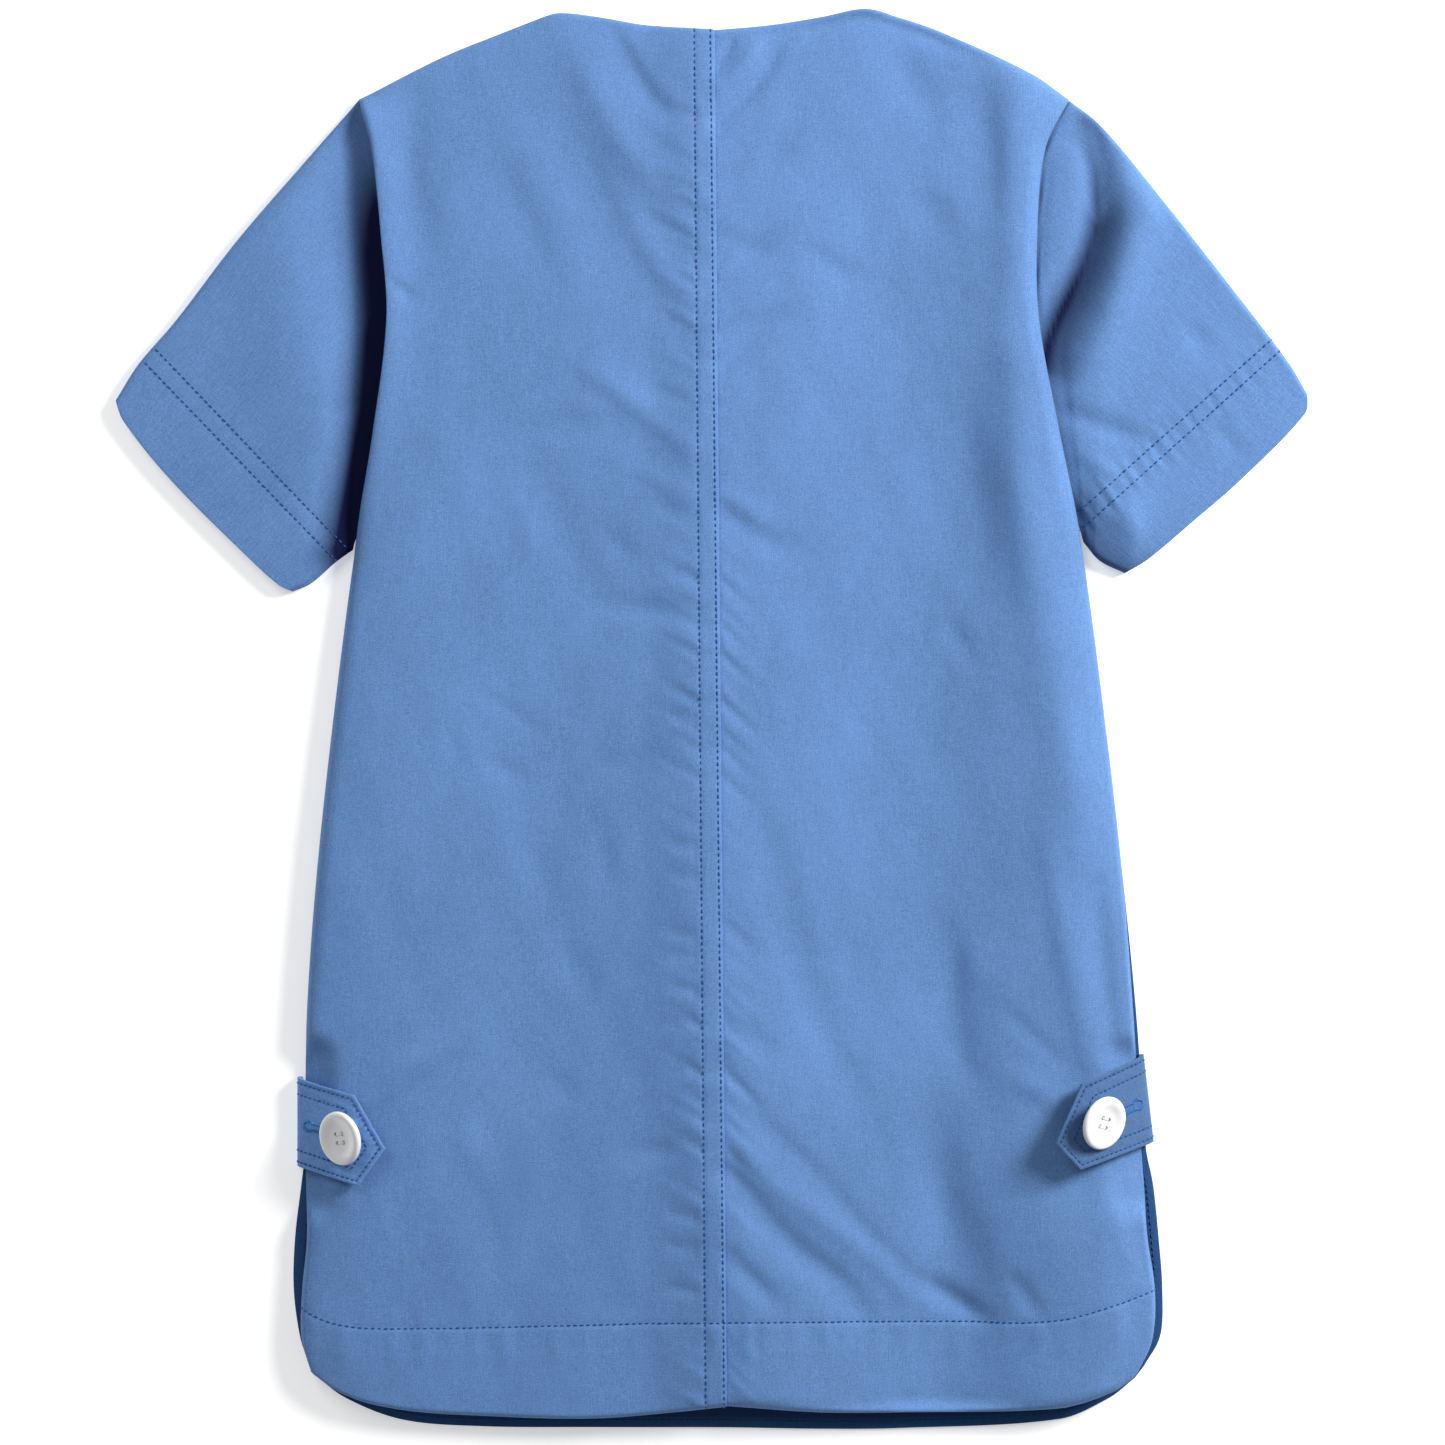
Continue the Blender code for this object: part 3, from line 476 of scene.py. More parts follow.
def crease_height(x, y, creases):
    """Rise of the listed creases, each a soft ridge or trough with its own width to each side."""
    total = np.zeros(x.shape)
    for points, sunny_width, shady_width, height, start, end in creases:
        path = Path(points)
        line = path.at(np.linspace(0.0, 1.0, 4 * (len(points) - 1) + 1))
        reach = 2.6 * max(sunny_width, shady_width)
        near = (
            (x > line[:, 0].min() - reach) & (x < line[:, 0].max() + reach)
            & (y > line[:, 1].min() - reach) & (y < line[:, 1].max() + reach)
        )
        if not near.any():
            continue
        distance, share, sunny = polyline_distance(x[near], y[near], line)
        width = shady_width + (sunny_width - shady_width) * sunny
        bump = np.sin(np.pi * share)
        strength = bump + (1.0 - bump) * (start * (1.0 - share) + end * share)
        total[near] += 1.06 * height * strength * np.exp(-(distance / width) ** 2)
    return total


def fold_height(x, y):
    """Rise of the broad folds at a point of the back."""
    total = np.zeros(x.shape)
    for x0, y0, x1, y1, width, height in FOLDS:
        run_x, run_y = x1 - x0, y1 - y0
        share = ((x - x0) * run_x + (y - y0) * run_y) / (run_x ** 2 + run_y ** 2)
        held = np.clip(share, 0.0, 1.0)
        distance = np.hypot(x - x0 - run_x * held, y - y0 - run_y * held)
        fade = np.sin(np.pi * np.clip(share, 0.04, 0.96))
        total += height * fade * np.exp(-(distance / width) ** 2)
    return total


def pucker_height(x, y):
    """Small uneven gathers that run off the centre seam's stitching, and below the hem's row."""
    from_seam = x - seam_x(y)
    off = np.where(from_seam < 0.0, -from_seam - 9.0, from_seam - 1.0)
    slant = np.where(from_seam < 0.0, -0.55, 1.6 * smooth_step(-y, -150.0, -60.0) - 0.7)
    level = y + slant * np.maximum(off, 0.0)
    wave = (
        np.sin(level * 0.61 + 0.8) + 0.9 * np.sin(level * 0.37 + 2.1 + 0.2 * np.sin(level * 0.11))
        + 0.6 * np.sin(level * 0.97 + 4.0)
    )
    swell = 0.55 + 0.45 * np.sin(y * 0.037 + 1.0)
    reach = np.where(off > 0.0, np.exp(-(off / 12.0) ** 2), 0.45)
    centre = 0.25 * wave * swell * reach
    row = hem_row_level(x)
    ripple = np.sin(x * 0.56 + 0.3) + 0.8 * np.sin(x * 0.37 + 1.7) + 0.5 * np.sin(x * 0.93)
    below = row - y
    hem = 0.17 * ripple * np.exp(-((below - 7.0) / 9.0) ** 2) * (0.5 + 0.5 * np.sin(x * 0.021 + 0.6) ** 2)
    return centre + hem


def hem_row_level(x):
    return np.interp(x, [point[0] for point in HEM_ROW], [point[1] for point in HEM_ROW])


def edge_lift(y, side, distance):
    """How far the back's edge stands up over an armhole, fading inwards and at both ends."""
    height, width, top, bottom = EDGE_LIFT[side]
    window = smooth_step(y, bottom - 26.0, bottom + 60.0) * smooth_step(-y, -top - 4.0, 10.0 - top)
    return height * window * np.exp(-(distance / width) ** 2)


def seam_details(x, y, side):
    """Sunk lines under the stitching and the slight rise of the doubled hem."""
    total = np.zeros(x.shape)
    row = hem_row_level(x)
    total += 0.22 * smooth_step(row - y, -0.4, 1.4)
    total -= 0.22 * np.exp(-((y - row) / 0.8) ** 2)
    total += 0.08 * np.exp(-((y - row + 12.5) / 1.6) ** 2)
    if side == "left":
        for top, bottom in CENTRE_ROWS:
            share = (TOP_EDGE[7][1] - y) / (TOP_EDGE[7][1] - HEM[5][1])
            line = seam_x(y) - (top + (bottom - top) * share)
            total -= 0.16 * np.exp(-((x - line) / 0.8) ** 2)
        total -= 0.5 * np.exp(-((seam_x(y) - x) / 0.8) ** 2)
    return total


def back_height(x, y, side, side_distance, top_distance, hem_distance):
    """Height of the back's upper face without its creases."""
    crown = look_up(LOFT, LOFT_COLUMNS, "top", y)
    reach = np.abs(look_up(BODY, BODY_COLUMNS, side, y) - seam_x(y))
    crown = crown + TENT * np.clip(1.0 - np.abs(x - seam_x(y)) / reach, 0.0, 1.0)
    crown = crown + fold_height(x, y)
    neck = rounding(NECK_HALF + 12.0 - np.abs(x), 14.0)
    roll = look_up(LOFT, LOFT_COLUMNS, "roll", y)
    top, bottom = TAB_LEVELS
    under_tab = smooth_step(y, bottom - 12.0, bottom) * smooth_step(-y, -top - 12.0, -top)
    if side == "left":
        side_share = 0.74 * rim(side_distance, 3.0) + 0.26 * rounding(side_distance, 36.0)
    else:
        slope = 1.0 - (1.0 - np.clip(side_distance / 22.0, 0.0, 1.0)) ** 1.6
        tight = 0.60 + 0.24 * smooth_step(-y, 0.0, 90.0)
        side_share = tight * rim(side_distance, 2.5) + (1.0 - tight) * slope
    side_share = side_share + (rounding(side_distance, roll) - side_share) * under_tab
    edges = (
        (side_share, look_up(LOFT, LOFT_COLUMNS, side + "_edge", y)),
        (0.6 * rim(top_distance, 3.0) + 0.4 * rounding(top_distance, 14.0),
         SHOULDER_FOOT + (NECK_FOOT - SHOULDER_FOOT) * neck),
        (0.95 * rim(hem_distance, 2.4) + 0.05 * rounding(hem_distance, 24.0),
         np.where(np.abs(x) < CORNER_START, HEM_FOOT, CORNER_FOOT)),
    )
    rise = np.ones(x.shape)
    weight = np.zeros(x.shape)
    foot = np.zeros(x.shape)
    for share, height in edges:
        rise = rise * share
        weight = weight + 1.0 - share
        foot = foot + (1.0 - share) * height
    foot = foot / np.maximum(weight, 1e-6)
    return np.where(weight < 1e-6, crown, foot + (crown - foot) * rise)


def side_path(side, beyond=False):
    outward = -1.0 if side == "left" else 1.0
    hem = HEM[0] if side == "left" else HEM[-1]
    points = []
    for row in BODY:
        values = dict(zip(BODY_COLUMNS, row))
        extra = values["front_" + side] if beyond else 0.0
        points.append((values[side] + outward * extra, values["level"]))
    corner = 1.8 if side == "left" else 3.8
    points.append((hem[0] + outward * corner, hem[2] + 4.9) if beyond else (hem[0], hem[1]))
    return Path(points)


def top_path(side):
    middle = len(TOP_EDGE) // 2
    return Path(TOP_EDGE[:middle + 1] if side == "left" else tuple(reversed(TOP_EDGE[middle:])))


def hem_path(side):
    middle = len(HEM) // 2
    rows = HEM[:middle + 1] if side == "left" else tuple(reversed(HEM[middle:]))
    return Path([(row[0], row[1]) for row in rows])


def sheet_mesh(name, grid, closed=False):
    """A mesh of quads through a grid of points in millimetres; closed joins each row's ends."""
    rows, width = grid.shape[:2]
    index = np.arange(rows * width).reshape(rows, width)
    if closed:
        index = np.concatenate((index, index[:, :1]), axis=1)
    faces = np.stack((index[:-1, :-1], index[:-1, 1:], index[1:, 1:], index[1:, :-1]), axis=-1)
    mesh = bpy.data.meshes.new(name)
    mesh.from_pydata((grid.reshape(-1, 3) * MM).tolist(), [], faces.reshape(-1, 4).tolist())
    mesh.update()
    return mesh


def face_up(mesh, keep=None):
    """Turn a sheet's faces so that its upper part looks up."""
    total = sum(face.normal.z * face.area for face in mesh.polygons if keep is None or keep(face))
    if total < 0.0:
        mesh.flip_normals()
    return mesh


def put_in_scene(name, mesh, material, wall=0.0, soft_edge=0.4):
    """A piece in the scene, with a cloth wall grown inwards and its raw rim rounded."""
    piece = bpy.data.objects.new(name, mesh)
    bpy.context.scene.collection.objects.link(piece)
    mesh.materials.clear()
    mesh.materials.append(material)
    mesh.shade_smooth()
    if wall:
        solid = piece.modifiers.new("wall", "SOLIDIFY")
        solid.thickness = wall * MM
        solid.offset = -1.0
        solid.use_even_offset = True
        round_rim = piece.modifiers.new("rim", "BEVEL")
        round_rim.width = soft_edge * MM
        round_rim.segments = 2
        round_rim.limit_method = "ANGLE"
        round_rim.angle_limit = math.radians(55.0)
        round_rim.use_clamp_overlap = True
    return piece


class Number:
    """A number socket in a material, joined to others by Python's own operators."""

    def __init__(self, finish, socket):
        self.finish = finish
        self.socket = socket

    def join(self, operation, first, second=None):
        values = [first] if second is None else [first, second]
        node = self.finish.add("ShaderNodeMath", {"operation": operation}, dict(enumerate(values)))
        return Number(self.finish, node.outputs[0])

    def __add__(self, other):
        return self.join("ADD", self, other)

    def __radd__(self, other):
        return self.join("ADD", other, self)

    def __sub__(self, other):
        return self.join("SUBTRACT", self, other)

    def __rsub__(self, other):
        return self.join("SUBTRACT", other, self)

    def __mul__(self, other):
        return self.join("MULTIPLY", self, other)

    def __rmul__(self, other):
        return self.join("MULTIPLY", other, self)

    def wave(self):
        return self.join("SINE", self)


class Finish:
    """A material, and one way to add any node to it."""

    def __init__(self, name):
        self.material = bpy.data.materials.new(name)
        self.material.use_nodes = True
        self.tree = self.material.node_tree
        self.shader = self.tree.nodes["Principled BSDF"]

    def add(self, kind, settings=None, values=None):
        node = self.tree.nodes.new(kind)
        for key, value in (settings or {}).items():
            setattr(node, key, value)
        self.set(node, values or {})
        return node

    def set(self, node, values):
        for key, value in values.items():
            slot = node.inputs[key]
            if isinstance(value, Number):
                value = value.socket
            if isinstance(value, bpy.types.NodeSocket):
                self.tree.links.new(value, slot)
            else:
                slot.default_value = value

    def number(self, node, output):
        return Number(self, node.outputs[output])

    def place(self, scale, turn=0.0):
        """The piece's own coordinates in units of scale, turned about Z."""
        where = self.add("ShaderNodeTexCoord")
        turned = self.add("ShaderNodeMapping", values={
            "Vector": where.outputs["Object"], "Rotation": (0.0, 0.0, math.radians(turn))})
        sized = self.add("ShaderNodeVectorMath", {"operation": "DIVIDE"}, {
            0: turned.outputs["Vector"], 1: tuple(size * MM for size in scale)})
        return sized.outputs["Vector"]

    def noise(self, scale, turn=0.0, detail=2.0, roughness=0.5):
        """Noise whose blots have the given sizes in millimetres along the piece's axes."""
        node = self.add("ShaderNodeTexNoise", values={
            "Vector": self.place(scale, turn), "Scale": 1.0, "Detail": detail, "Roughness": roughness})
        return self.number(node, "Fac")

    def mix(self, factor, first, second):
        node = self.add("ShaderNodeMix", {"data_type": "RGBA"})
        self.set(node, {0: factor, 6: first, 7: second})
        return node.outputs[2]

    def bump(self, height, distance, strength=1.0, normal=None):
        node = self.add("ShaderNodeBump", values={
            "Height": height, "Distance": distance * MM, "Strength": strength})
        if normal is not None:
            self.set(node, {"Normal": normal})
        return node.outputs["Normal"]


def shade(colour, factor):
    return tuple(part * factor for part in colour[:3]) + (1.0,)


# Near-black navy for painted shade, mixed into the cloth's colour where a sleeve lies in shadow beside the
# armhole.
PAINTED_SHADE_COLOUR = (0.0, 0.003, 0.034, 1.0)


def cloth_finish(name, colour, grain, painted_shade_colour=PAINTED_SHADE_COLOUR):
    """Plain-dyed cotton twill: slubby yarns each way, a fine diagonal rib and a soft handle. Where a mesh
    attribute says so, the colour darkens towards near-black navy as painted shade.
    """
    finish = Finish(name)
    warp = finish.noise((0.42, 6.0, 4.0), grain, 2.0, 0.6)
    weft = finish.noise((5.0, 0.42, 4.0), grain, 2.0, 0.6)
    fleck = finish.noise((0.55, 0.55, 0.55), grain, 2.0, 0.75)
    cloud = finish.noise((38.0, 52.0, 40.0), grain, 3.0, 0.5)
    yarn = warp * 0.30 + weft * 0.22 + fleck * 1.0 + cloud * 0.25
    spread = (yarn - 0.885) * 2.3 + 0.5
    dyed = finish.mix(spread, shade(colour, 0.74), shade(colour, 1.26))
    # Painted shade: the mesh attribute blends the dyed cloth towards the shade colour.
    painted_shade = finish.number(finish.add("ShaderNodeAttribute", {"attribute_name": "painted_shade"}), "Fac")
    colour_out = finish.mix(painted_shade, dyed, painted_shade_colour)
    parts = finish.add("ShaderNodeSeparateXYZ", values={0: finish.place((1.0, 1.0, 1.0), grain)})
    x = finish.number(parts, "X")
    y = finish.number(parts, "Y")
    rib = ((x * 1.0 + y * 1.35) * (2 * math.pi / 0.85)).wave()
    thread = (y * (2 * math.pi / 0.42)).wave()
    weave = rib * 0.35 + thread * 0.15 + warp * 1.2 + weft * 1.0 + fleck * 1.4
    soft = finish.noise((9.0, 13.0, 9.0), grain, 3.0, 0.55)
    rumpled = finish.bump(soft, 0.55, 0.5)
    finish.set(finish.shader, {
        "Base Color": colour_out,
        "Roughness": 0.80 + (fleck - 0.5) * 0.25,
        "Normal": finish.bump(weave, 0.09, 0.6, rumpled),
        "Specular IOR Level": 0.15,
        "Sheen Weight": 0.03,
        "Sheen Roughness": 0.5,
    })
    return finish.material


def thread_finish(name, colour):
    """Spun thread: fine slanting plies and a low gloss."""
    finish = Finish(name)
    ply = finish.noise((0.25, 0.25, 0.25), 30.0, 2.0, 0.6)
    finish.set(finish.shader, {
        "Base Color": finish.mix(ply, shade(colour, 0.7), shade(colour, 1.3)),
        "Roughness": 0.45 + (ply - 0.5) * 0.3,
        "Normal": finish.bump(ply, 0.06, 0.7),
        "Specular IOR Level": 0.2,
    })
    return finish.material


def button_finish(name, colour):
    """Moulded white plastic, glossy, with faint flow marks and fine handling wear."""
    finish = Finish(name)
    flow = finish.noise((6.0, 6.0, 6.0), 0.0, 3.0, 0.5)
    scuff = finish.noise((0.5, 2.5, 0.8), 25.0, 2.0, 0.6)
    finish.set(finish.shader, {
        "Base Color": finish.mix(flow, shade(colour, 0.97), shade(colour, 1.0)),
        "Roughness": 0.22 + (scuff - 0.5) * 0.12 + (flow - 0.5) * 0.08,
        "Normal": finish.bump(flow, 0.05, 0.25),
        "Coat Weight": 0.25 + (scuff - 0.5) * 0.1,
        "Coat Roughness": 0.12,
        "Specular IOR Level": 0.5,
    })
    return finish.material


def stitch_tree():
    """Geometry Nodes that lay stitches along the edges of a mesh, one to each pitch."""
    tree = bpy.data.node_groups.new("topstitch", "GeometryNodeTree")
    face = tree.interface
    face.new_socket("Rows", in_out="INPUT", socket_type="NodeSocketGeometry")
    for name, kind, value in (
        ("Pitch", "NodeSocketFloat", 2.7), ("Length", "NodeSocketFloat", 2.2),
        ("Width", "NodeSocketFloat", 0.45), ("Turn", "NodeSocketFloat", 0.0),
        ("Uneven", "NodeSocketFloat", 0.1), ("Seed", "NodeSocketInt", 3),
        ("Thread", "NodeSocketMaterial", None),
    ):
        socket = face.new_socket(name, in_out="INPUT", socket_type=kind)
        if value is not None:
            socket.default_value = value
    face.new_socket("Stitches", in_out="OUTPUT", socket_type="NodeSocketGeometry")

    def add(kind, settings=None, values=None):
        node = tree.nodes.new(kind)
        for key, value in (settings or {}).items():
            setattr(node, key, value)
        for key, value in (values or {}).items():
            if isinstance(value, bpy.types.NodeSocket):
                tree.links.new(value, node.inputs[key])
            else:
                node.inputs[key].default_value = value
        return node

    given = add("NodeGroupInput").outputs
    curve = add("GeometryNodeMeshToCurve", values={"Mesh": given["Rows"]})
    points = add("GeometryNodeCurveToPoints", {"mode": "LENGTH"}, {
        "Curve": curve.outputs["Curve"], "Length": given["Pitch"]})
    bead = add("GeometryNodeMeshUVSphere", values={"Segments": 6, "Rings": 5, "Radius": 0.5})
    aligned = add("FunctionNodeAlignRotationToVector", {"axis": "X"}, {
        "Vector": points.outputs["Tangent"]})
    size = add("ShaderNodeCombineXYZ", values={
        "X": given["Length"], "Y": given["Width"], "Z": given["Width"]})
    uneven = add("FunctionNodeRandomValue", {"data_type": "FLOAT"}, {
        "Min": 0.85, "Max": 1.12, "Seed": given["Seed"]})
    scale = add("ShaderNodeVectorMath", {"operation": "SCALE"}, {
        0: size.outputs[0], "Scale": uneven.outputs["Value"]})
    placed = add("GeometryNodeInstanceOnPoints", values={
        "Points": points.outputs["Points"], "Instance": bead.outputs["Mesh"],
        "Rotation": aligned.outputs["Rotation"], "Scale": scale.outputs["Vector"]})
    low = add("ShaderNodeMath", {"operation": "SUBTRACT"}, {0: given["Turn"], 1: given["Uneven"]})
    high = add("ShaderNodeMath", {"operation": "ADD"}, {0: given["Turn"], 1: given["Uneven"]})
    swing = add("FunctionNodeRandomValue", {"data_type": "FLOAT"}, {
        "Min": low.outputs[0], "Max": high.outputs[0], "Seed": given["Seed"]})
    angles = add("ShaderNodeCombineXYZ", values={"Z": swing.outputs["Value"]})
    turned = add("GeometryNodeRotateInstances", values={
        "Instances": placed.outputs["Instances"], "Rotation": angles.outputs[0],
        "Local Space": True})
    smooth = add("GeometryNodeSetShadeSmooth", values={"Geometry": turned.outputs["Instances"]})
    real = add("GeometryNodeRealizeInstances", values={"Geometry": smooth.outputs["Geometry"]})
    dyed = add("GeometryNodeSetMaterial", values={
        "Geometry": real.outputs["Geometry"], "Material": given["Thread"]})
    add("NodeGroupOutput", values={"Stitches": dyed.outputs["Geometry"]})
    return tree


def sew(name, rows, thread, **sizes):
    """Stitches along rows of points in millimetres, as one plain mesh."""
    tree = bpy.data.node_groups.get("topstitch") or stitch_tree()
    vertices, edges = [], []
    for row in rows:
        start = len(vertices)
        vertices += [Vector(point) * MM for point in row]
        edges += [(start + index, start + index + 1) for index in range(len(row) - 1)]
    line = bpy.data.meshes.new(name + "_rows")
    line.from_pydata(vertices, edges, [])
    guide = bpy.data.objects.new(name + "_rows", line)
    bpy.context.scene.collection.objects.link(guide)
    nodes = guide.modifiers.new("stitches", "NODES")
    nodes.node_group = tree
    given = {"Pitch": 2.7 * MM, "Length": 1.95 * MM, "Width": 0.72 * MM, "Thread": thread}
    given.update(sizes)
    for item in tree.interface.items_tree:
        if item.in_out == "INPUT" and item.name in given:
            nodes[item.identifier] = given[item.name]
    bpy.context.view_layer.update()
    depsgraph = bpy.context.evaluated_depsgraph_get()
    mesh = bpy.data.meshes.new_from_object(guide.evaluated_get(depsgraph))
    bpy.data.objects.remove(guide)
    mesh.name = name
    piece = bpy.data.objects.new(name, mesh)
    bpy.context.scene.collection.objects.link(piece)
    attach(piece, "root")
    return piece


class Surface:
    """The upper face of a piece, for laying stitches on it."""

    def __init__(self, mesh):
        self.tree = BVHTree.FromPolygons(
            [vertex.co.copy() for vertex in mesh.vertices],
            [tuple(face.vertices) for face in mesh.polygons])

    def lay(self, points, lift=0.1):
        """Points dropped onto the face from above; those off it are left out."""
        found = []
        for x, y in points:
            hit, normal, _, _ = self.tree.ray_cast(
                Vector((x * MM, y * MM, 0.1)), Vector((0.0, 0.0, -1.0)))
            if hit is not None:
                found.append(tuple(hit / MM + normal.normalized() * lift))
        return found


def along(points, step=1.2):
    """Even places along a smooth line through a few points."""
    path = Path(points)
    return path.at(np.linspace(0.0, 1.0, max(2, int(path.length / step))))


def rumple(x, y):
    """Slight unevenness that pressed cloth keeps, longer down the dress than across it."""
    return (
        0.08 * np.sin(0.17 * x + 0.06 * y + 1.0) + 0.07 * np.sin(0.13 * x - 0.10 * y + 2.3)
        + 0.05 * np.sin(0.27 * x + 0.12 * y + 0.4 + 0.9 * np.sin(0.05 * y))
        + 0.03 * np.sin(0.41 * x - 0.09 * y + 3.1 + 1.1 * np.sin(0.04 * y + 1.0))
    )


def back_relief(x, y):
    """Creases, the dents beside the centre seam, and the gathers."""
    dents = [(((-19.0, level + 1.5), (-8.0, level)), 2.6, 3.2, -0.6, 0.1, 1.0) for level in SEAM_DENTS]
    return (crease_height(x, y, BACK_CREASES) + crease_height(x, y, dents) + pucker_height(x, y)
            + rumple(x, y))


def back_grid(side):
    """The upper face of one half of the back, as a grid of points."""
    hem, top, edge = hem_path(side), top_path(side), side_path(side)
    seam = Path(((SEAM_TOP, TOP_EDGE[7][1]), (SEAM_BOTTOM, HEM[5][1])))
    across = spaced(BACK_WIDTH, ((3.0, 0.6), (12.0, 1.1), (-14.0, 1.9), (0.0, 0.55)))
    down = spaced(BACK_LENGTH, ((3.0, 0.6), (12.0, 1.2), (-60.0, 1.95), (-34.0, 0.95),
                                (-4.0, 1.7), (0.0, 0.7)))
    plan = patch(top, hem, edge, seam, across, down)
    x, y = plan[..., 0], plan[..., 1]
    side_distance = np.linalg.norm(plan - edge.at(down)[:, None], axis=2)
    top_distance = np.linalg.norm(plan - top.at(across)[None], axis=2)
    hem_distance = np.linalg.norm(plan - hem.at(across)[None], axis=2)
    z = back_height(x, y, side, side_distance, top_distance, hem_distance)
    hold = rounding(side_distance, 7.0) * rounding(top_distance, 5.0) * rounding(hem_distance, 6.0)
    relief = back_relief(x, y)
    top, bottom = TAB_LEVELS
    under_tab = smooth_step(y, bottom - 12.0, bottom) * smooth_step(-y, -top - 12.0, -top)
    free = 1.0 - under_tab * (1.0 - smooth_step(side_distance, 6.0, 16.0))
    z = z + np.where(relief > 0.0, relief * free, relief) * hold
    z = z + seam_details(x, y, side) * rounding(side_distance, 2.0)
    z = z + edge_lift(y, side, side_distance)
    if side == "left":
        inward = (1.0 - across)[None, :] * BACK_WIDTH
        z = z + LAP_RISE * smooth_step(LAP + LAP_RAMP - inward, 0.0, LAP_RAMP)
        return np.dstack((x, y, z))
    hidden = []
    seam_points = seam.at(down)
    for tuck in np.linspace(0.8, LAP, 10):
        hx, hy = seam_points[:, 0] - tuck, seam_points[:, 1]
        hz = back_height(hx, hy, "left", np.full(hx.shape, BACK_WIDTH), down * BACK_LENGTH,
                         (1 - down) * BACK_LENGTH)
        held = rounding(down * BACK_LENGTH, 5.0) * rounding((1 - down) * BACK_LENGTH, 6.0)
        hz = hz + back_relief(hx, hy) * held
        hidden.append(np.stack((hx, hy, hz), axis=1))
    return np.concatenate((np.dstack((x, y, z)), np.stack(hidden, axis=1)), axis=1)


def make_back(side, cloth, thread):
    """One half of the back with its hem's row; the left half also carries the centre rows."""
    name = "back_" + side
    mesh = face_up(sheet_mesh(name, back_grid(side)))
    surface = Surface(mesh)
    piece = put_in_scene(name + "_cloth", mesh, cloth, CLOTH)
    rows = []
    edge = seam_x(HEM_ROW[0][1])
    hem = along(HEM_ROW)
    if side == "left":
        rows.append(surface.lay([point for point in hem if point[0] < edge]))
        top, bottom = TOP_EDGE[7][1] - 0.6, HEM[5][1] + 0.6
        for first, last in CENTRE_ROWS:
            levels = np.linspace(top, bottom, 420)
            share = (top - levels) / (top - bottom)
            rows.append(surface.lay(np.stack(
                (seam_x(levels) - (first + (last - first) * share), levels), axis=1)))
    else:
        rows.append(surface.lay([point for point in hem if point[0] > edge + 0.8]))
    stitches = sew(name + "_stitches", rows, thread, Seed=5 if side == "left" else 6)
    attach(piece, "root")
    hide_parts(name)
    return piece, stitches


def sleeve_grid(side):
    """Both layers of a flattened sleeve, as rings from the armhole to the cuff."""
    shape = SLEEVES[side]
    outward = -1.0 if side == "left" else 1.0
    armhole = [shape["fold"][0]]
    for index in range(1, 8):
        level = SLEEVE_SEAM[0] + (SLEEVE_SEAM[1] - SLEEVE_SEAM[0]) * (index - 0.5) / 7
        edge = look_up(BODY, BODY_COLUMNS, side, level)
        armhole.append((edge + outward * (GAP + 0.15), level))
    armhole.append(shape["underarm"][0])
    start, end = Path(armhole), Path(shape["cuff"])
    fold, underarm = Path(shape["fold"]), Path(shape["underarm"])
    down = spaced(110.0, ((6.0, 1.0), (-6.0, 1.6), (0.0, 0.9)))
    rings = []
    for share_down in down:
        half = look_up(SLEEVE_PROFILE, SLEEVE_PROFILE_COLUMNS, "top", share_down) / 2
        ends = [np.linalg.norm(curve.at(1.0) - curve.at(0.0)) for curve in (start, end)]
        length = ends[0] * (1 - share_down) + ends[1] * share_down
        over = half * (1 - np.cos(np.radians(np.linspace(0.0, 90.0, 8))))
        inner = np.linspace(over[-1], length - over[-1], 88)[1:-1]
        upper = np.concatenate((over, inner, length - over[::-1]))
        below = np.concatenate((length - over[1:], np.linspace(length - over[-1], over[-1], 40)[1:-1],
                                over[::-1][:-1]))
        for distances, sign in ((upper, 1.0), (below, -1.0)):
            share = distances / length
            plan = patch(start, end, fold, underarm, share, np.array([share_down]))[0]
            nearest = np.minimum(distances, length - distances)
            lift = half * np.sqrt(np.clip(1.0 - (1.0 - np.clip(nearest / half, 0.0, 1.0)) ** 2, 0, 1))
            z = half + sign * lift
            x, y = plan[:, 0], plan[:, 1]
            if sign > 0.0:
                relief = crease_height(x, y, SLEEVE_CREASES[side]) + cuff_details(x, y, side)
                held = rounding(nearest, 9.0) * (0.25 + 0.75 * rounding(np.array(share_down), 0.10))
                z = np.maximum(z + relief * held, np.minimum(z, 2 * CLOTH + 0.4))
                roof = look_up(LOFT, LOFT_COLUMNS, side + "_edge", y) + edge_lift(y, side, 0.0)
                rise = np.maximum(0.0, roof - CLOTH - SEAM_CLEARANCE - z)
                z = z + rise * max(0.0, 1.0 - share_down / SEAM_DROP[side]) ** 2
                x = x - outward * TUCK * max(0.0, 1.0 - share_down / TUCK_END) * np.sin(np.pi * share)
            # Painted shade on the upper layer: darkened where the body's edge casts its shadow and deep in
            # the fold.
            painted_shade = np.zeros(x.shape)
            for line, sunny_reach, shady_reach, first, last in SLEEVE_PAINTED_SHADE[side] if sign > 0.0 else ():
                distance, place, sunny = polyline_distance(x, y, Path(line).at(np.linspace(0.0, 1.0, 25)))
                reach = shady_reach + (sunny_reach - shady_reach) * sunny
                dark = (first + (last - first) * smooth_step(place, 0.1, 0.6)) * np.clip(1.0 - distance / reach, 0.0, 1.0) ** 1.4
                painted_shade = np.maximum(painted_shade, np.clip(dark, 0.0, 1.0))
            rings.append(np.stack((x, y, z, painted_shade), axis=1))
    rings = [np.concatenate(pair) for pair in zip(rings[0::2], rings[1::2])]
    return np.stack(rings)


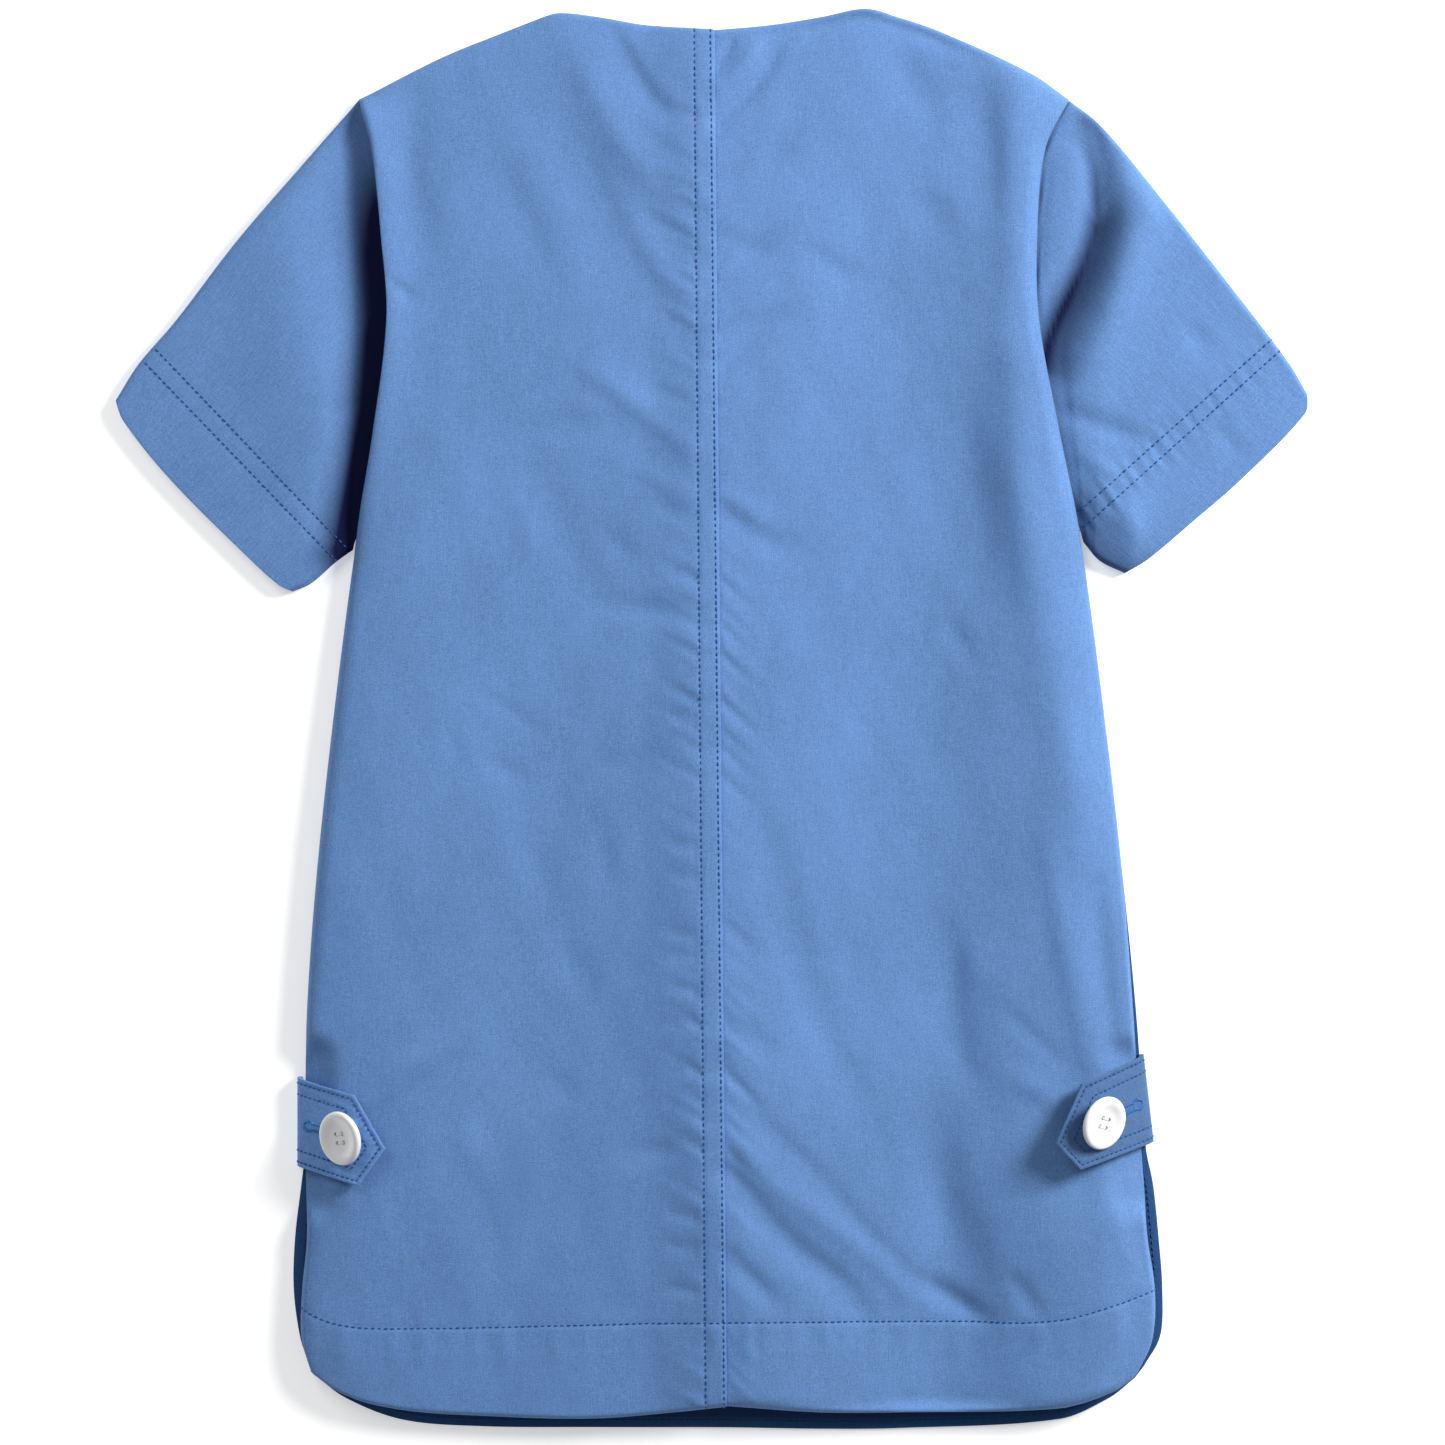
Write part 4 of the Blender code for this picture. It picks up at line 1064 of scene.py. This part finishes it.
def cuff_details(x, y, side):
    """Sunk lines under a cuff's two rows, with puckers across them."""
    total = np.zeros(x.shape)
    for (x0, y0), (x1, y1) in CUFF_ROWS[side]:
        run_x, run_y = x1 - x0, y1 - y0
        size = math.hypot(run_x, run_y)
        offset = ((x - x0) * run_y - (y - y0) * run_x) / size
        place = ((x - x0) * run_x + (y - y0) * run_y) / size
        total -= 0.16 * np.exp(-(offset / 0.9) ** 2)
        ripple = np.sin(place * 1.02) + 0.7 * np.sin(place * 0.61 + 1.3) + 0.6 * np.sin(place * 1.55)
        swell = 0.4 + 0.6 * np.clip(place / size, 0.0, 1.0)
        total += (0.20 if side == "right" else 0.09) * swell * ripple * np.exp(-(offset / 5.0) ** 2)
    return total


def make_sleeve(side, cloth, thread):
    name = "sleeve_" + side
    grid = sleeve_grid(side)
    mesh = sheet_mesh(name, grid[..., :3], closed=True)
    # Painted shade, per point, kept on the mesh for the cloth's material.
    painted_shade = mesh.attributes.new("painted_shade", "FLOAT", "POINT")
    painted_shade.data.foreach_set("value", grid[..., 3].ravel())
    low = [face for face in mesh.polygons if face.center.z < 0.5 * MM]
    if sum(face.normal.z for face in low) > 0.0:
        mesh.flip_normals()
    surface = Surface(mesh)
    piece = put_in_scene(name + "_cloth", mesh, cloth, CLOTH)
    rows = [surface.lay(along(row)) for row in CUFF_ROWS[side]]
    stitches = sew(name + "_stitches", rows, thread, Seed=7 if side == "left" else 8)
    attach(piece, "root")
    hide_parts(name)
    return piece, stitches


def front_edge():
    """The front panel's edge once round, from the neck's left point down the left side."""
    shoulder_left = Path(tuple(reversed(TOP_EDGE[:5])))
    shoulder_right = Path(tuple(reversed(TOP_EDGE[10:])))
    hem = Path([(row[0], row[2]) for row in HEM])
    left, right = side_path("left", True), side_path("right", True)
    bottom = np.array((SEAM_TOP, V_BOTTOM))
    neck_left, neck_right = np.array(TOP_EDGE[4]), np.array(TOP_EDGE[10])
    parts = [shoulder_left.at(np.linspace(0, 1, 30)[:-1]), left.at(np.linspace(0, 1, 220)[:-1])]
    parts += [hem.at(np.linspace(0, 1, 160))]
    parts += [right.at(np.linspace(1, 0, 220)[:-1]), shoulder_right.at(np.linspace(0, 1, 30))]
    shares = np.linspace(0, 1, 40)[1:, None]
    parts += [neck_right + (bottom - neck_right) * shares]
    parts += [bottom + (neck_left - bottom) * shares[:-1]]
    return np.concatenate(parts)


def make_front(cloth, thread):
    """The front, flat on the floor, with its narrow turned hem and the row that holds it."""
    edge = front_edge()
    along_edge = np.roll(edge, -1, axis=0) - np.roll(edge, 1, axis=0)
    inward = np.stack((-along_edge[:, 1], along_edge[:, 0]), axis=1)
    inward = inward / np.linalg.norm(inward, axis=1)[:, None]
    mesh = bpy.data.meshes.new("front")
    shape = bmesh.new()
    rings = [
        [shape.verts.new((x * MM, y * MM, CLOTH * MM)) for x, y in edge + inward * width]
        for width in (0.0, FRONT_RIM, FRONT_RIM + 1.0)
    ]
    for outer, inner in zip(rings, rings[1:]):
        for index in range(len(outer)):
            after = (index + 1) % len(outer)
            shape.faces.new((outer[index], outer[after], inner[after], inner[index]))
    shape.faces.new(rings[-1])
    shape.to_mesh(mesh)
    shape.free()
    # Painted shade: the front's inner part, past its rim, takes the darker inside colour.
    painted_shade = mesh.attributes.new("painted_shade", "FLOAT", "POINT")
    painted_shade.data.foreach_set("value", [0.0] * (2 * len(edge)) + [1.0] * len(edge))
    face_up(mesh)
    surface = Surface(mesh)
    piece = put_in_scene("front_cloth", mesh, cloth, CLOTH)
    inner = []
    for index in range(259, 259 + 140 + 170):
        if index >= len(edge) - 1:
            break
        run = edge[index + 1] - edge[index - 1]
        size = np.linalg.norm(run)
        inner.append(edge[index] + np.array((-run[1], run[0])) / size * FRONT_HEM_ROW)
    stitches = sew("front_stitches", [surface.lay(inner)], thread, Seed=9)
    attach(piece, "root")
    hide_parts("front")
    return piece, stitches


def tab_plan(shape, across, share):
    """A point of a tab from above: across from its upper edge to its lower one, share to its end."""
    top, bottom = Vector(shape["root_top"]), Vector(shape["root_bottom"])
    root = top.lerp(bottom, across)
    if across < 0.5:
        end = Vector(shape["shoulder_top"]).lerp(Vector(shape["tip"]), across * 2)
    else:
        end = Vector(shape["tip"]).lerp(Vector(shape["shoulder_bottom"]), across * 2 - 1)
    return root.lerp(end, share), (end - root).length


def tab_height(distance, lift):
    longest = TAB_PROFILE[-1][0]
    height = float(look_up(TAB_PROFILE, TAB_PROFILE_COLUMNS, "top", distance))
    return height + lift * (min(distance, longest) / longest) ** 2


def tab_outline(shape, inset):
    """Line round a tab's free edges at an inset, from the upper root to the lower root."""
    names = ("root_top", "shoulder_top", "tip", "shoulder_bottom", "root_bottom")
    corners = [np.array(shape[name]) for name in names]
    centre = sum(corners) / len(corners)
    sides = []
    for start, end in zip(corners, corners[1:]):
        run = (end - start) / np.linalg.norm(end - start)
        inward = np.array((-run[1], run[0]))
        if inward.dot(centre - start) < 0.0:
            inward = -inward
        sides.append((start + inward * inset, run))
    line = []
    for (first, run), (second, other) in zip(sides, sides[1:]):
        matrix = np.array((run, -other)).T
        step = np.linalg.solve(matrix, second - first)
        line.append(first + run * step[0])
    root = corners[-1] - corners[0]
    ends = []
    for point, run in (sides[0], sides[-1]):
        matrix = np.array((run, -root)).T
        step = np.linalg.solve(matrix, corners[0] - point)
        ends.append(point + run * step[0])
    return [ends[0]] + line + [ends[1]]


def straight(points, step=0.6):
    """Even places along straight stretches."""
    found = []
    for start, end in zip(points, points[1:]):
        count = max(2, int(np.linalg.norm(np.array(end) - np.array(start)) / step))
        found += [np.array(start) + (np.array(end) - np.array(start)) * index / count
                  for index in range(count)]
    found.append(np.array(points[-1]))
    return found


def make_tab(side, cloth, thread, bright):
    """A two-layer tab with its two rows and the buttonhole that shows beyond the button."""
    name = "tab_" + side
    shape = TABS[side]
    rows_out = [np.array(tab_outline(shape, inset)) for inset in TAB_ROWS]
    grid = []
    for across in np.linspace(0.0, 1.0, 65):
        row = []
        wall = Path(TAB_WALL)
        for distance, z in wall.at(np.linspace(0.0, 1.0, 12))[:-1]:
            point, length = tab_plan(shape, across, 0.0)
            point, length = tab_plan(shape, across, max(0.0, distance) / length)
            row.append((point.x, point.y, z))
        point, length = tab_plan(shape, across, 0.0)
        for share in np.linspace(TAB_WALL[-1][0] / length, 1.0, 60):
            point, length = tab_plan(shape, across, share)
            row.append((point.x, point.y, tab_height(share * length, shape["tip_lift"])))
        grid.append(row)
    grid = np.array(grid)
    x, y = grid[..., 0], grid[..., 1]
    edge = np.array(tab_outline(shape, 0.0))
    distance = polyline_distance(x, y, edge)[0]
    above = smooth_step(grid[..., 2], 4.0, 8.0)
    puff = 0.35 * np.exp(-(distance / 1.6) ** 2)
    puff -= 0.2 * np.exp(-((distance - TAB_ROWS[0]) / 0.6) ** 2)
    puff -= 0.16 * np.exp(-((distance - TAB_ROWS[1]) / 0.6) ** 2)
    ripple = np.sin(y * 1.3 + x * 0.5) + 0.8 * np.sin(x * 0.9 - y * 0.4)
    puff += 0.06 * ripple * np.exp(-((distance - 4.0) / 4.0) ** 2)
    grid[..., 2] += (puff - 0.25 * np.exp(-(distance / 0.5) ** 2)) * above
    mesh = face_up(sheet_mesh(name, grid))
    surface = Surface(mesh)
    piece = put_in_scene(name + "_cloth", mesh, cloth, TAB_CLOTH, 0.7)
    rows = [surface.lay(straight(row)) for row in rows_out]
    stitches = sew(name + "_stitches", rows, thread, Seed=11 if side == "left" else 12,
                   Pitch=2.3 * MM, Length=1.9 * MM)
    hole = buttonhole(side, surface, bright)
    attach(piece, "root")
    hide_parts(name)
    return piece, stitches, hole


def buttonhole(side, surface, thread):
    """Close satin stitches round the buttonhole's slot, with the eye at its outer end."""
    shape = TABS[side]
    root = (np.array(shape["root_top"]) + np.array(shape["root_bottom"])) / 2
    tip = np.array(shape["tip"])
    run = (tip - root) / np.linalg.norm(tip - root)
    side_run = np.array((-run[1], run[0]))
    start, end = root + run * 4.2, root + run * 24.0
    half, eye = 1.25, 2.1
    loop = [end + side_run * half]
    loop += [start + run * 3.2 + side_run * half]
    for angle in np.linspace(math.radians(38.0), math.radians(322.0), 14):
        loop.append(start + run * (1.6 + math.cos(angle) * eye) + side_run * math.sin(angle) * eye)
    loop += [start + run * 3.2 - side_run * half, end - side_run * half]
    line = surface.lay(straight(loop, 0.4), 0.12)
    return sew("buttonhole_" + side, [line], thread, Seed=21, Pitch=0.62 * MM, Length=1.9 * MM,
               Width=0.6 * MM, Turn=math.pi / 2, Uneven=0.3)


def button_mesh(name):
    """A four-hole button's blank about its own axis: a rolled rim and a shallow dish, before its holes are
    cut.
    """
    profile = (
        (0.0, 0.0), (0.40, 0.0), (0.72, 0.02), (0.86, 0.09), (0.95, 0.22), (0.99, 0.40),
        (1.0, 0.55), (0.99, 0.72), (0.965, 0.86), (0.92, 0.96), (0.86, 1.0), (0.79, 0.985),
        (0.71, 0.93), (0.63, 0.83), (0.56, 0.74), (0.48, 0.68), (0.38, 0.645), (0.25, 0.625),
        (0.12, 0.62), (0.0, 0.62),
    )
    mesh = bpy.data.meshes.new(name)
    shape = bmesh.new()
    line = [shape.verts.new((radius * BUTTON_RADIUS * MM, 0.0, height * BUTTON_THICKNESS * MM))
            for radius, height in profile]
    edges = [shape.edges.new(pair) for pair in zip(line, line[1:])]
    bmesh.ops.spin(shape, geom=line + edges, axis=(0, 0, 1), cent=(0, 0, 0),
                   angle=2 * math.pi, steps=72, use_merge=True)
    bmesh.ops.remove_doubles(shape, verts=shape.verts, dist=0.00001)
    bmesh.ops.recalc_face_normals(shape, faces=shape.faces)
    shape.to_mesh(mesh)
    shape.free()
    return mesh


def hole_cutter():
    """The four thread holes, each a straight cylinder."""
    mesh = bpy.data.meshes.new("holes")
    shape = bmesh.new()
    for x in (-0.5, 0.5):
        for y in (-0.5, 0.5):
            centre = Vector((x, y, 0.0)) * BUTTON_HOLE_SPACING * MM
            centre.z = BUTTON_THICKNESS * MM / 2
            bmesh.ops.create_cone(
                shape, cap_ends=True, segments=24, radius1=BUTTON_HOLE_RADIUS * MM,
                radius2=BUTTON_HOLE_RADIUS * MM, depth=BUTTON_THICKNESS * MM * 3,
                matrix=Matrix.Translation(centre))
    shape.to_mesh(mesh)
    shape.free()
    cutter = bpy.data.objects.new("holes", mesh)
    bpy.context.scene.collection.objects.link(cutter)
    return cutter


def button_place(side):
    place, shape = BUTTONS[side], TABS[side]
    outward = -1.0 if side == "left" else 1.0
    x, y = place["centre"]
    middle = Vector(shape["root_top"]).lerp(Vector(shape["root_bottom"]), 0.5)
    distance = (Vector((x, y)) - middle).length
    z = tab_height(distance, shape["tip_lift"]) + place["stand"]
    turn = Matrix.Rotation(math.radians(place["lean"]), 4, "Z")
    tilt = Matrix.Rotation(math.radians(outward * BUTTON_TILT), 4, "Y")
    return Matrix.Translation(Vector((x, y, z)) * MM) @ turn @ tilt


def make_button(side, plastic, thread):
    name = "button_" + side
    blank = bpy.data.objects.new("blank", button_mesh(name))
    bpy.context.scene.collection.objects.link(blank)
    cutter = hole_cutter()
    cut = blank.modifiers.new("holes", "BOOLEAN")
    cut.operation = "DIFFERENCE"
    cut.object = cutter
    bpy.context.view_layer.update()
    depsgraph = bpy.context.evaluated_depsgraph_get()
    mesh = bpy.data.meshes.new_from_object(blank.evaluated_get(depsgraph))
    bpy.data.objects.remove(blank)
    bpy.data.objects.remove(cutter)
    mesh.transform(button_place(side))
    mesh.materials.clear()
    piece = put_in_scene(name + "_disc", mesh, plastic)
    mesh.set_sharp_from_angle(angle=math.radians(40.0))
    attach(piece, "root")
    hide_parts(name)
    bars = button_thread(side, thread)
    return piece, bars


def button_thread(side, thread):
    """Sewing thread down through the four holes to the tab, two bars across each pair."""
    half = BUTTON_HOLE_SPACING / 2
    floor = BUTTON_THICKNESS * 0.62
    shape = bmesh.new()
    place = button_place(side)
    for y in (-half, half):
        for offset in (-0.32, 0.0, 0.32):
            points = [(-half, -2.6), (-half, floor - 0.8), (-half + 0.3, floor - 0.1),
                      (0.0, floor + 0.12), (half - 0.3, floor - 0.1), (half, floor - 0.8),
                      (half, -2.6)]
            line = Path(points).at(np.linspace(0.0, 1.0, 29))
            add_tube(shape, [Vector((px, y + offset, pz)) for px, pz in line], 0.17)
    mesh = bpy.data.meshes.new("button_thread_" + side)
    for vertex in shape.verts:
        vertex.co *= MM
    shape.to_mesh(mesh)
    shape.free()
    mesh.transform(place)
    piece = put_in_scene("button_thread_" + side, mesh, thread)
    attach(piece, "root")
    return piece


def add_tube(shape, points, radius, sides=6):
    """A closed round tube through points, added to a bmesh."""
    rings = []
    for index, point in enumerate(points):
        before = points[max(index - 1, 0)]
        after = points[min(index + 1, len(points) - 1)]
        run = (after - before).normalized()
        first = run.orthogonal() if not rings else (rings[-1][1] - run * rings[-1][1].dot(run))
        first = first.normalized()
        second = run.cross(first)
        ring = [shape.verts.new(point + (first * math.cos(turn) + second * math.sin(turn)) * radius)
                for turn in (2 * math.pi * side / sides for side in range(sides))]
        rings.append((ring, first))
    for (low, _), (high, _) in zip(rings, rings[1:]):
        for side in range(sides):
            right = (side + 1) % sides
            shape.faces.new((low[side], low[right], high[right], high[side]))
    shape.faces.new(list(reversed(rings[0][0])))
    shape.faces.new(rings[-1][0])


class UniformSizes(bpy.types.PropertyGroup):
    """Sizes and colours of the uniform that a user would change."""

    cloth_colour: bpy.props.FloatVectorProperty(
        name="Cloth", description="Dye of the cotton twill", subtype="COLOR", size=4,
        min=0.0, max=1.0, default=(0.118, 0.240, 0.505, 1.0))
    # Painted shade: the same cloth darkened to navy, for the inside of the front seen past the back's edges.
    inside_painted_shade: bpy.props.FloatVectorProperty(
        name="Inside", description="Wrong side of the front, seen past the hem", subtype="COLOR",
        size=4, min=0.0, max=1.0, default=(0.016, 0.050, 0.150, 1.0))
    # Painted shade: the same cloth darkened, for the front's turned edge seen past the back's edges.
    rim_painted_shade: bpy.props.FloatVectorProperty(
        name="Turned edge", description="Colour of the turned edge of the front's inside", subtype="COLOR",
        size=4, min=0.0, max=1.0, default=(0.023, 0.082, 0.225, 1.0))
    thread_colour: bpy.props.FloatVectorProperty(
        name="Thread", description="Topstitching thread", subtype="COLOR", size=4,
        min=0.0, max=1.0, default=(0.016, 0.088, 0.295, 1.0))
    buttonhole_colour: bpy.props.FloatVectorProperty(
        name="Buttonhole", description="Thread round the buttonholes", subtype="COLOR", size=4,
        min=0.0, max=1.0, default=(0.050, 0.220, 0.560, 1.0))
    button_colour: bpy.props.FloatVectorProperty(
        name="Button", description="Plastic of the buttons", subtype="COLOR", size=4,
        min=0.0, max=1.0, default=(0.86, 0.86, 0.87, 1.0))
    key_power: bpy.props.FloatProperty(
        name="Key light", description="Power of the light from the upper right", unit="POWER",
        default=50.0, min=0.0)
    fill_strength: bpy.props.FloatProperty(
        name="Fill", description="Strength of the light from all round", default=0.25, min=0.0)


class UNIFORM_OT_front(bpy.types.Operator):
    """Make the front panel, which lies on the floor"""

    bl_idname = "uniform.front"
    bl_label = "Front"

    def execute(self, context):
        sizes = context.scene.uniform_sizes
        # The front's cloth takes the darkened rim colour, and its inner part the darker inside colour, both
        # painted shade.
        cloth = cloth_finish("front", sizes.rim_painted_shade, GRAIN["front"], sizes.inside_painted_shade)
        # Painted shade: the front's thread is the topstitching thread darkened.
        thread = thread_finish("front_thread", shade(sizes.thread_colour, 0.8))
        piece, stitches = make_front(cloth, thread)
        return {"FINISHED"}


class UNIFORM_OT_backs(bpy.types.Operator):
    """Make both back panels with the lapped seam between them"""

    bl_idname = "uniform.backs"
    bl_label = "Back panels"

    def execute(self, context):
        sizes = context.scene.uniform_sizes
        thread = thread_finish("topstitch_thread", sizes.thread_colour)
        for side in ("left", "right"):
            cloth = cloth_finish("back_" + side, sizes.cloth_colour, GRAIN["back_" + side])
            piece, stitches = make_back(side, cloth, thread)
        return {"FINISHED"}


class UNIFORM_OT_sleeves(bpy.types.Operator):
    """Make both sleeves, each a flattened tube"""

    bl_idname = "uniform.sleeves"
    bl_label = "Sleeves"

    def execute(self, context):
        sizes = context.scene.uniform_sizes
        thread = thread_finish("cuff_thread", sizes.thread_colour)
        for side in ("left", "right"):
            cloth = cloth_finish("sleeve_" + side, sizes.cloth_colour, GRAIN["sleeve_" + side])
            piece, stitches = make_sleeve(side, cloth, thread)
        return {"FINISHED"}


class UNIFORM_OT_tabs(bpy.types.Operator):
    """Make both tabs with their rows and buttonholes"""

    bl_idname = "uniform.tabs"
    bl_label = "Tabs"

    def execute(self, context):
        sizes = context.scene.uniform_sizes
        thread = thread_finish("tab_thread", sizes.thread_colour)
        bright = thread_finish("buttonhole_thread", sizes.buttonhole_colour)
        for side in ("left", "right"):
            # Painted light and shade: the left tab's cloth is lightened and the right tab's darkened,
            # against the key light that falls on their slopes.
            tab_painted_light_and_shade = shade(sizes.cloth_colour, 1.25 if side == "left" else 0.60)
            cloth = cloth_finish("tab_" + side, tab_painted_light_and_shade, GRAIN["tab_" + side])
            piece, stitches, hole = make_tab(side, cloth, thread, bright)
        return {"FINISHED"}


class UNIFORM_OT_buttons(bpy.types.Operator):
    """Make both buttons with the thread that holds them"""

    bl_idname = "uniform.buttons"
    bl_label = "Buttons"

    def execute(self, context):
        sizes = context.scene.uniform_sizes
        plastic = button_finish("button_plastic", sizes.button_colour)
        thread = thread_finish("button_thread", sizes.button_colour)
        for side in ("left", "right"):
            make_button(side, plastic, thread)
        return {"FINISHED"}


class UNIFORM_OT_stage(bpy.types.Operator):
    """Set up the floor, the lights and the camera"""

    bl_idname = "uniform.stage"
    bl_label = "Stage"

    def execute(self, context):
        sizes = context.scene.uniform_sizes
        scene = context.scene
        scene.view_settings.view_transform = "Standard"
        make_floor()
        make_camera(scene)
        key = area_light("key", (1.42, 0.82, 0.95), 0.70, sizes.key_power)
        key.data.color = (1.0, 0.985, 0.965)
        area_light("side", (-0.95, 1.25, 1.5), 1.2, sizes.key_power * 0.27)
        world = bpy.data.worlds.new("soft_studio")
        world.use_nodes = True
        back = world.node_tree.nodes["Background"]
        back.inputs["Color"].default_value = (0.96, 0.98, 1.0, 1.0)
        back.inputs["Strength"].default_value = sizes.fill_strength
        scene.world = world
        return {"FINISHED"}


def make_floor():
    mesh = bpy.data.meshes.new("floor")
    half = 3.0
    mesh.from_pydata([(-half, -half, 0), (half, -half, 0), (half, half, 0), (-half, half, 0)],
                     [], [(0, 1, 2, 3)])
    floor = bpy.data.objects.new("floor", mesh)
    bpy.context.scene.collection.objects.link(floor)
    finish = Finish("pale_floor")
    finish.set(finish.shader, {"Base Color": (0.93, 0.93, 0.93, 1.0), "Roughness": 0.9,
                               "Specular IOR Level": 0.1, "Emission Color": (1.0, 1.0, 1.0, 1.0),
                               "Emission Strength": 0.4})
    mesh.materials.append(finish.material)


def make_camera(scene):
    """Straight down over the dress, with the photograph's square frame."""
    width = 606.9 * MM
    lens, sensor = 100.0, 36.0
    camera = bpy.data.objects.new("camera", bpy.data.cameras.new("camera"))
    scene.collection.objects.link(camera)
    camera.data.lens = lens
    camera.data.sensor_width = sensor
    camera.data.clip_end = 50.0
    camera.location = (4.62 * MM, -1.26 * MM, width * lens / sensor + 8.0 * MM)
    scene.camera = camera


def area_light(name, place, size, power):
    light = bpy.data.objects.new(name, bpy.data.lights.new(name, "AREA"))
    bpy.context.scene.collection.objects.link(light)
    light.data.shape = "DISK"
    light.data.size = size
    light.data.energy = power
    light.location = place
    light.rotation_euler = (Vector(place) * -1.0).to_track_quat("-Z", "Y").to_euler()
    return light


OPERATORS = (UNIFORM_OT_front, UNIFORM_OT_backs, UNIFORM_OT_sleeves, UNIFORM_OT_tabs,
             UNIFORM_OT_buttons, UNIFORM_OT_stage)


class UNIFORM_PT_panel(bpy.types.Panel):
    """The uniform's pieces, sizes and colours"""

    bl_idname = "UNIFORM_PT_panel"
    bl_label = "Nurse uniform dress"
    bl_space_type = "VIEW_3D"
    bl_region_type = "UI"
    bl_category = "Uniform"

    def draw(self, context):
        layout = self.layout
        sizes = context.scene.uniform_sizes
        for name in UniformSizes.__annotations__:
            layout.prop(sizes, name)
        for operator in OPERATORS:
            layout.operator(operator.bl_idname)


CLASSES = (UniformSizes,) + OPERATORS + (UNIFORM_PT_panel,)


def register():
    for item in CLASSES:
        bpy.utils.register_class(item)
    bpy.types.Scene.uniform_sizes = bpy.props.PointerProperty(type=UniformSizes)


def unregister():
    del bpy.types.Scene.uniform_sizes
    for item in reversed(CLASSES):
        bpy.utils.unregister_class(item)


def main():
    register()
    for operator in OPERATORS:
        group, name = operator.bl_idname.split(".")
        getattr(getattr(bpy.ops, group), name)()


if __name__ == "__main__":
    main()
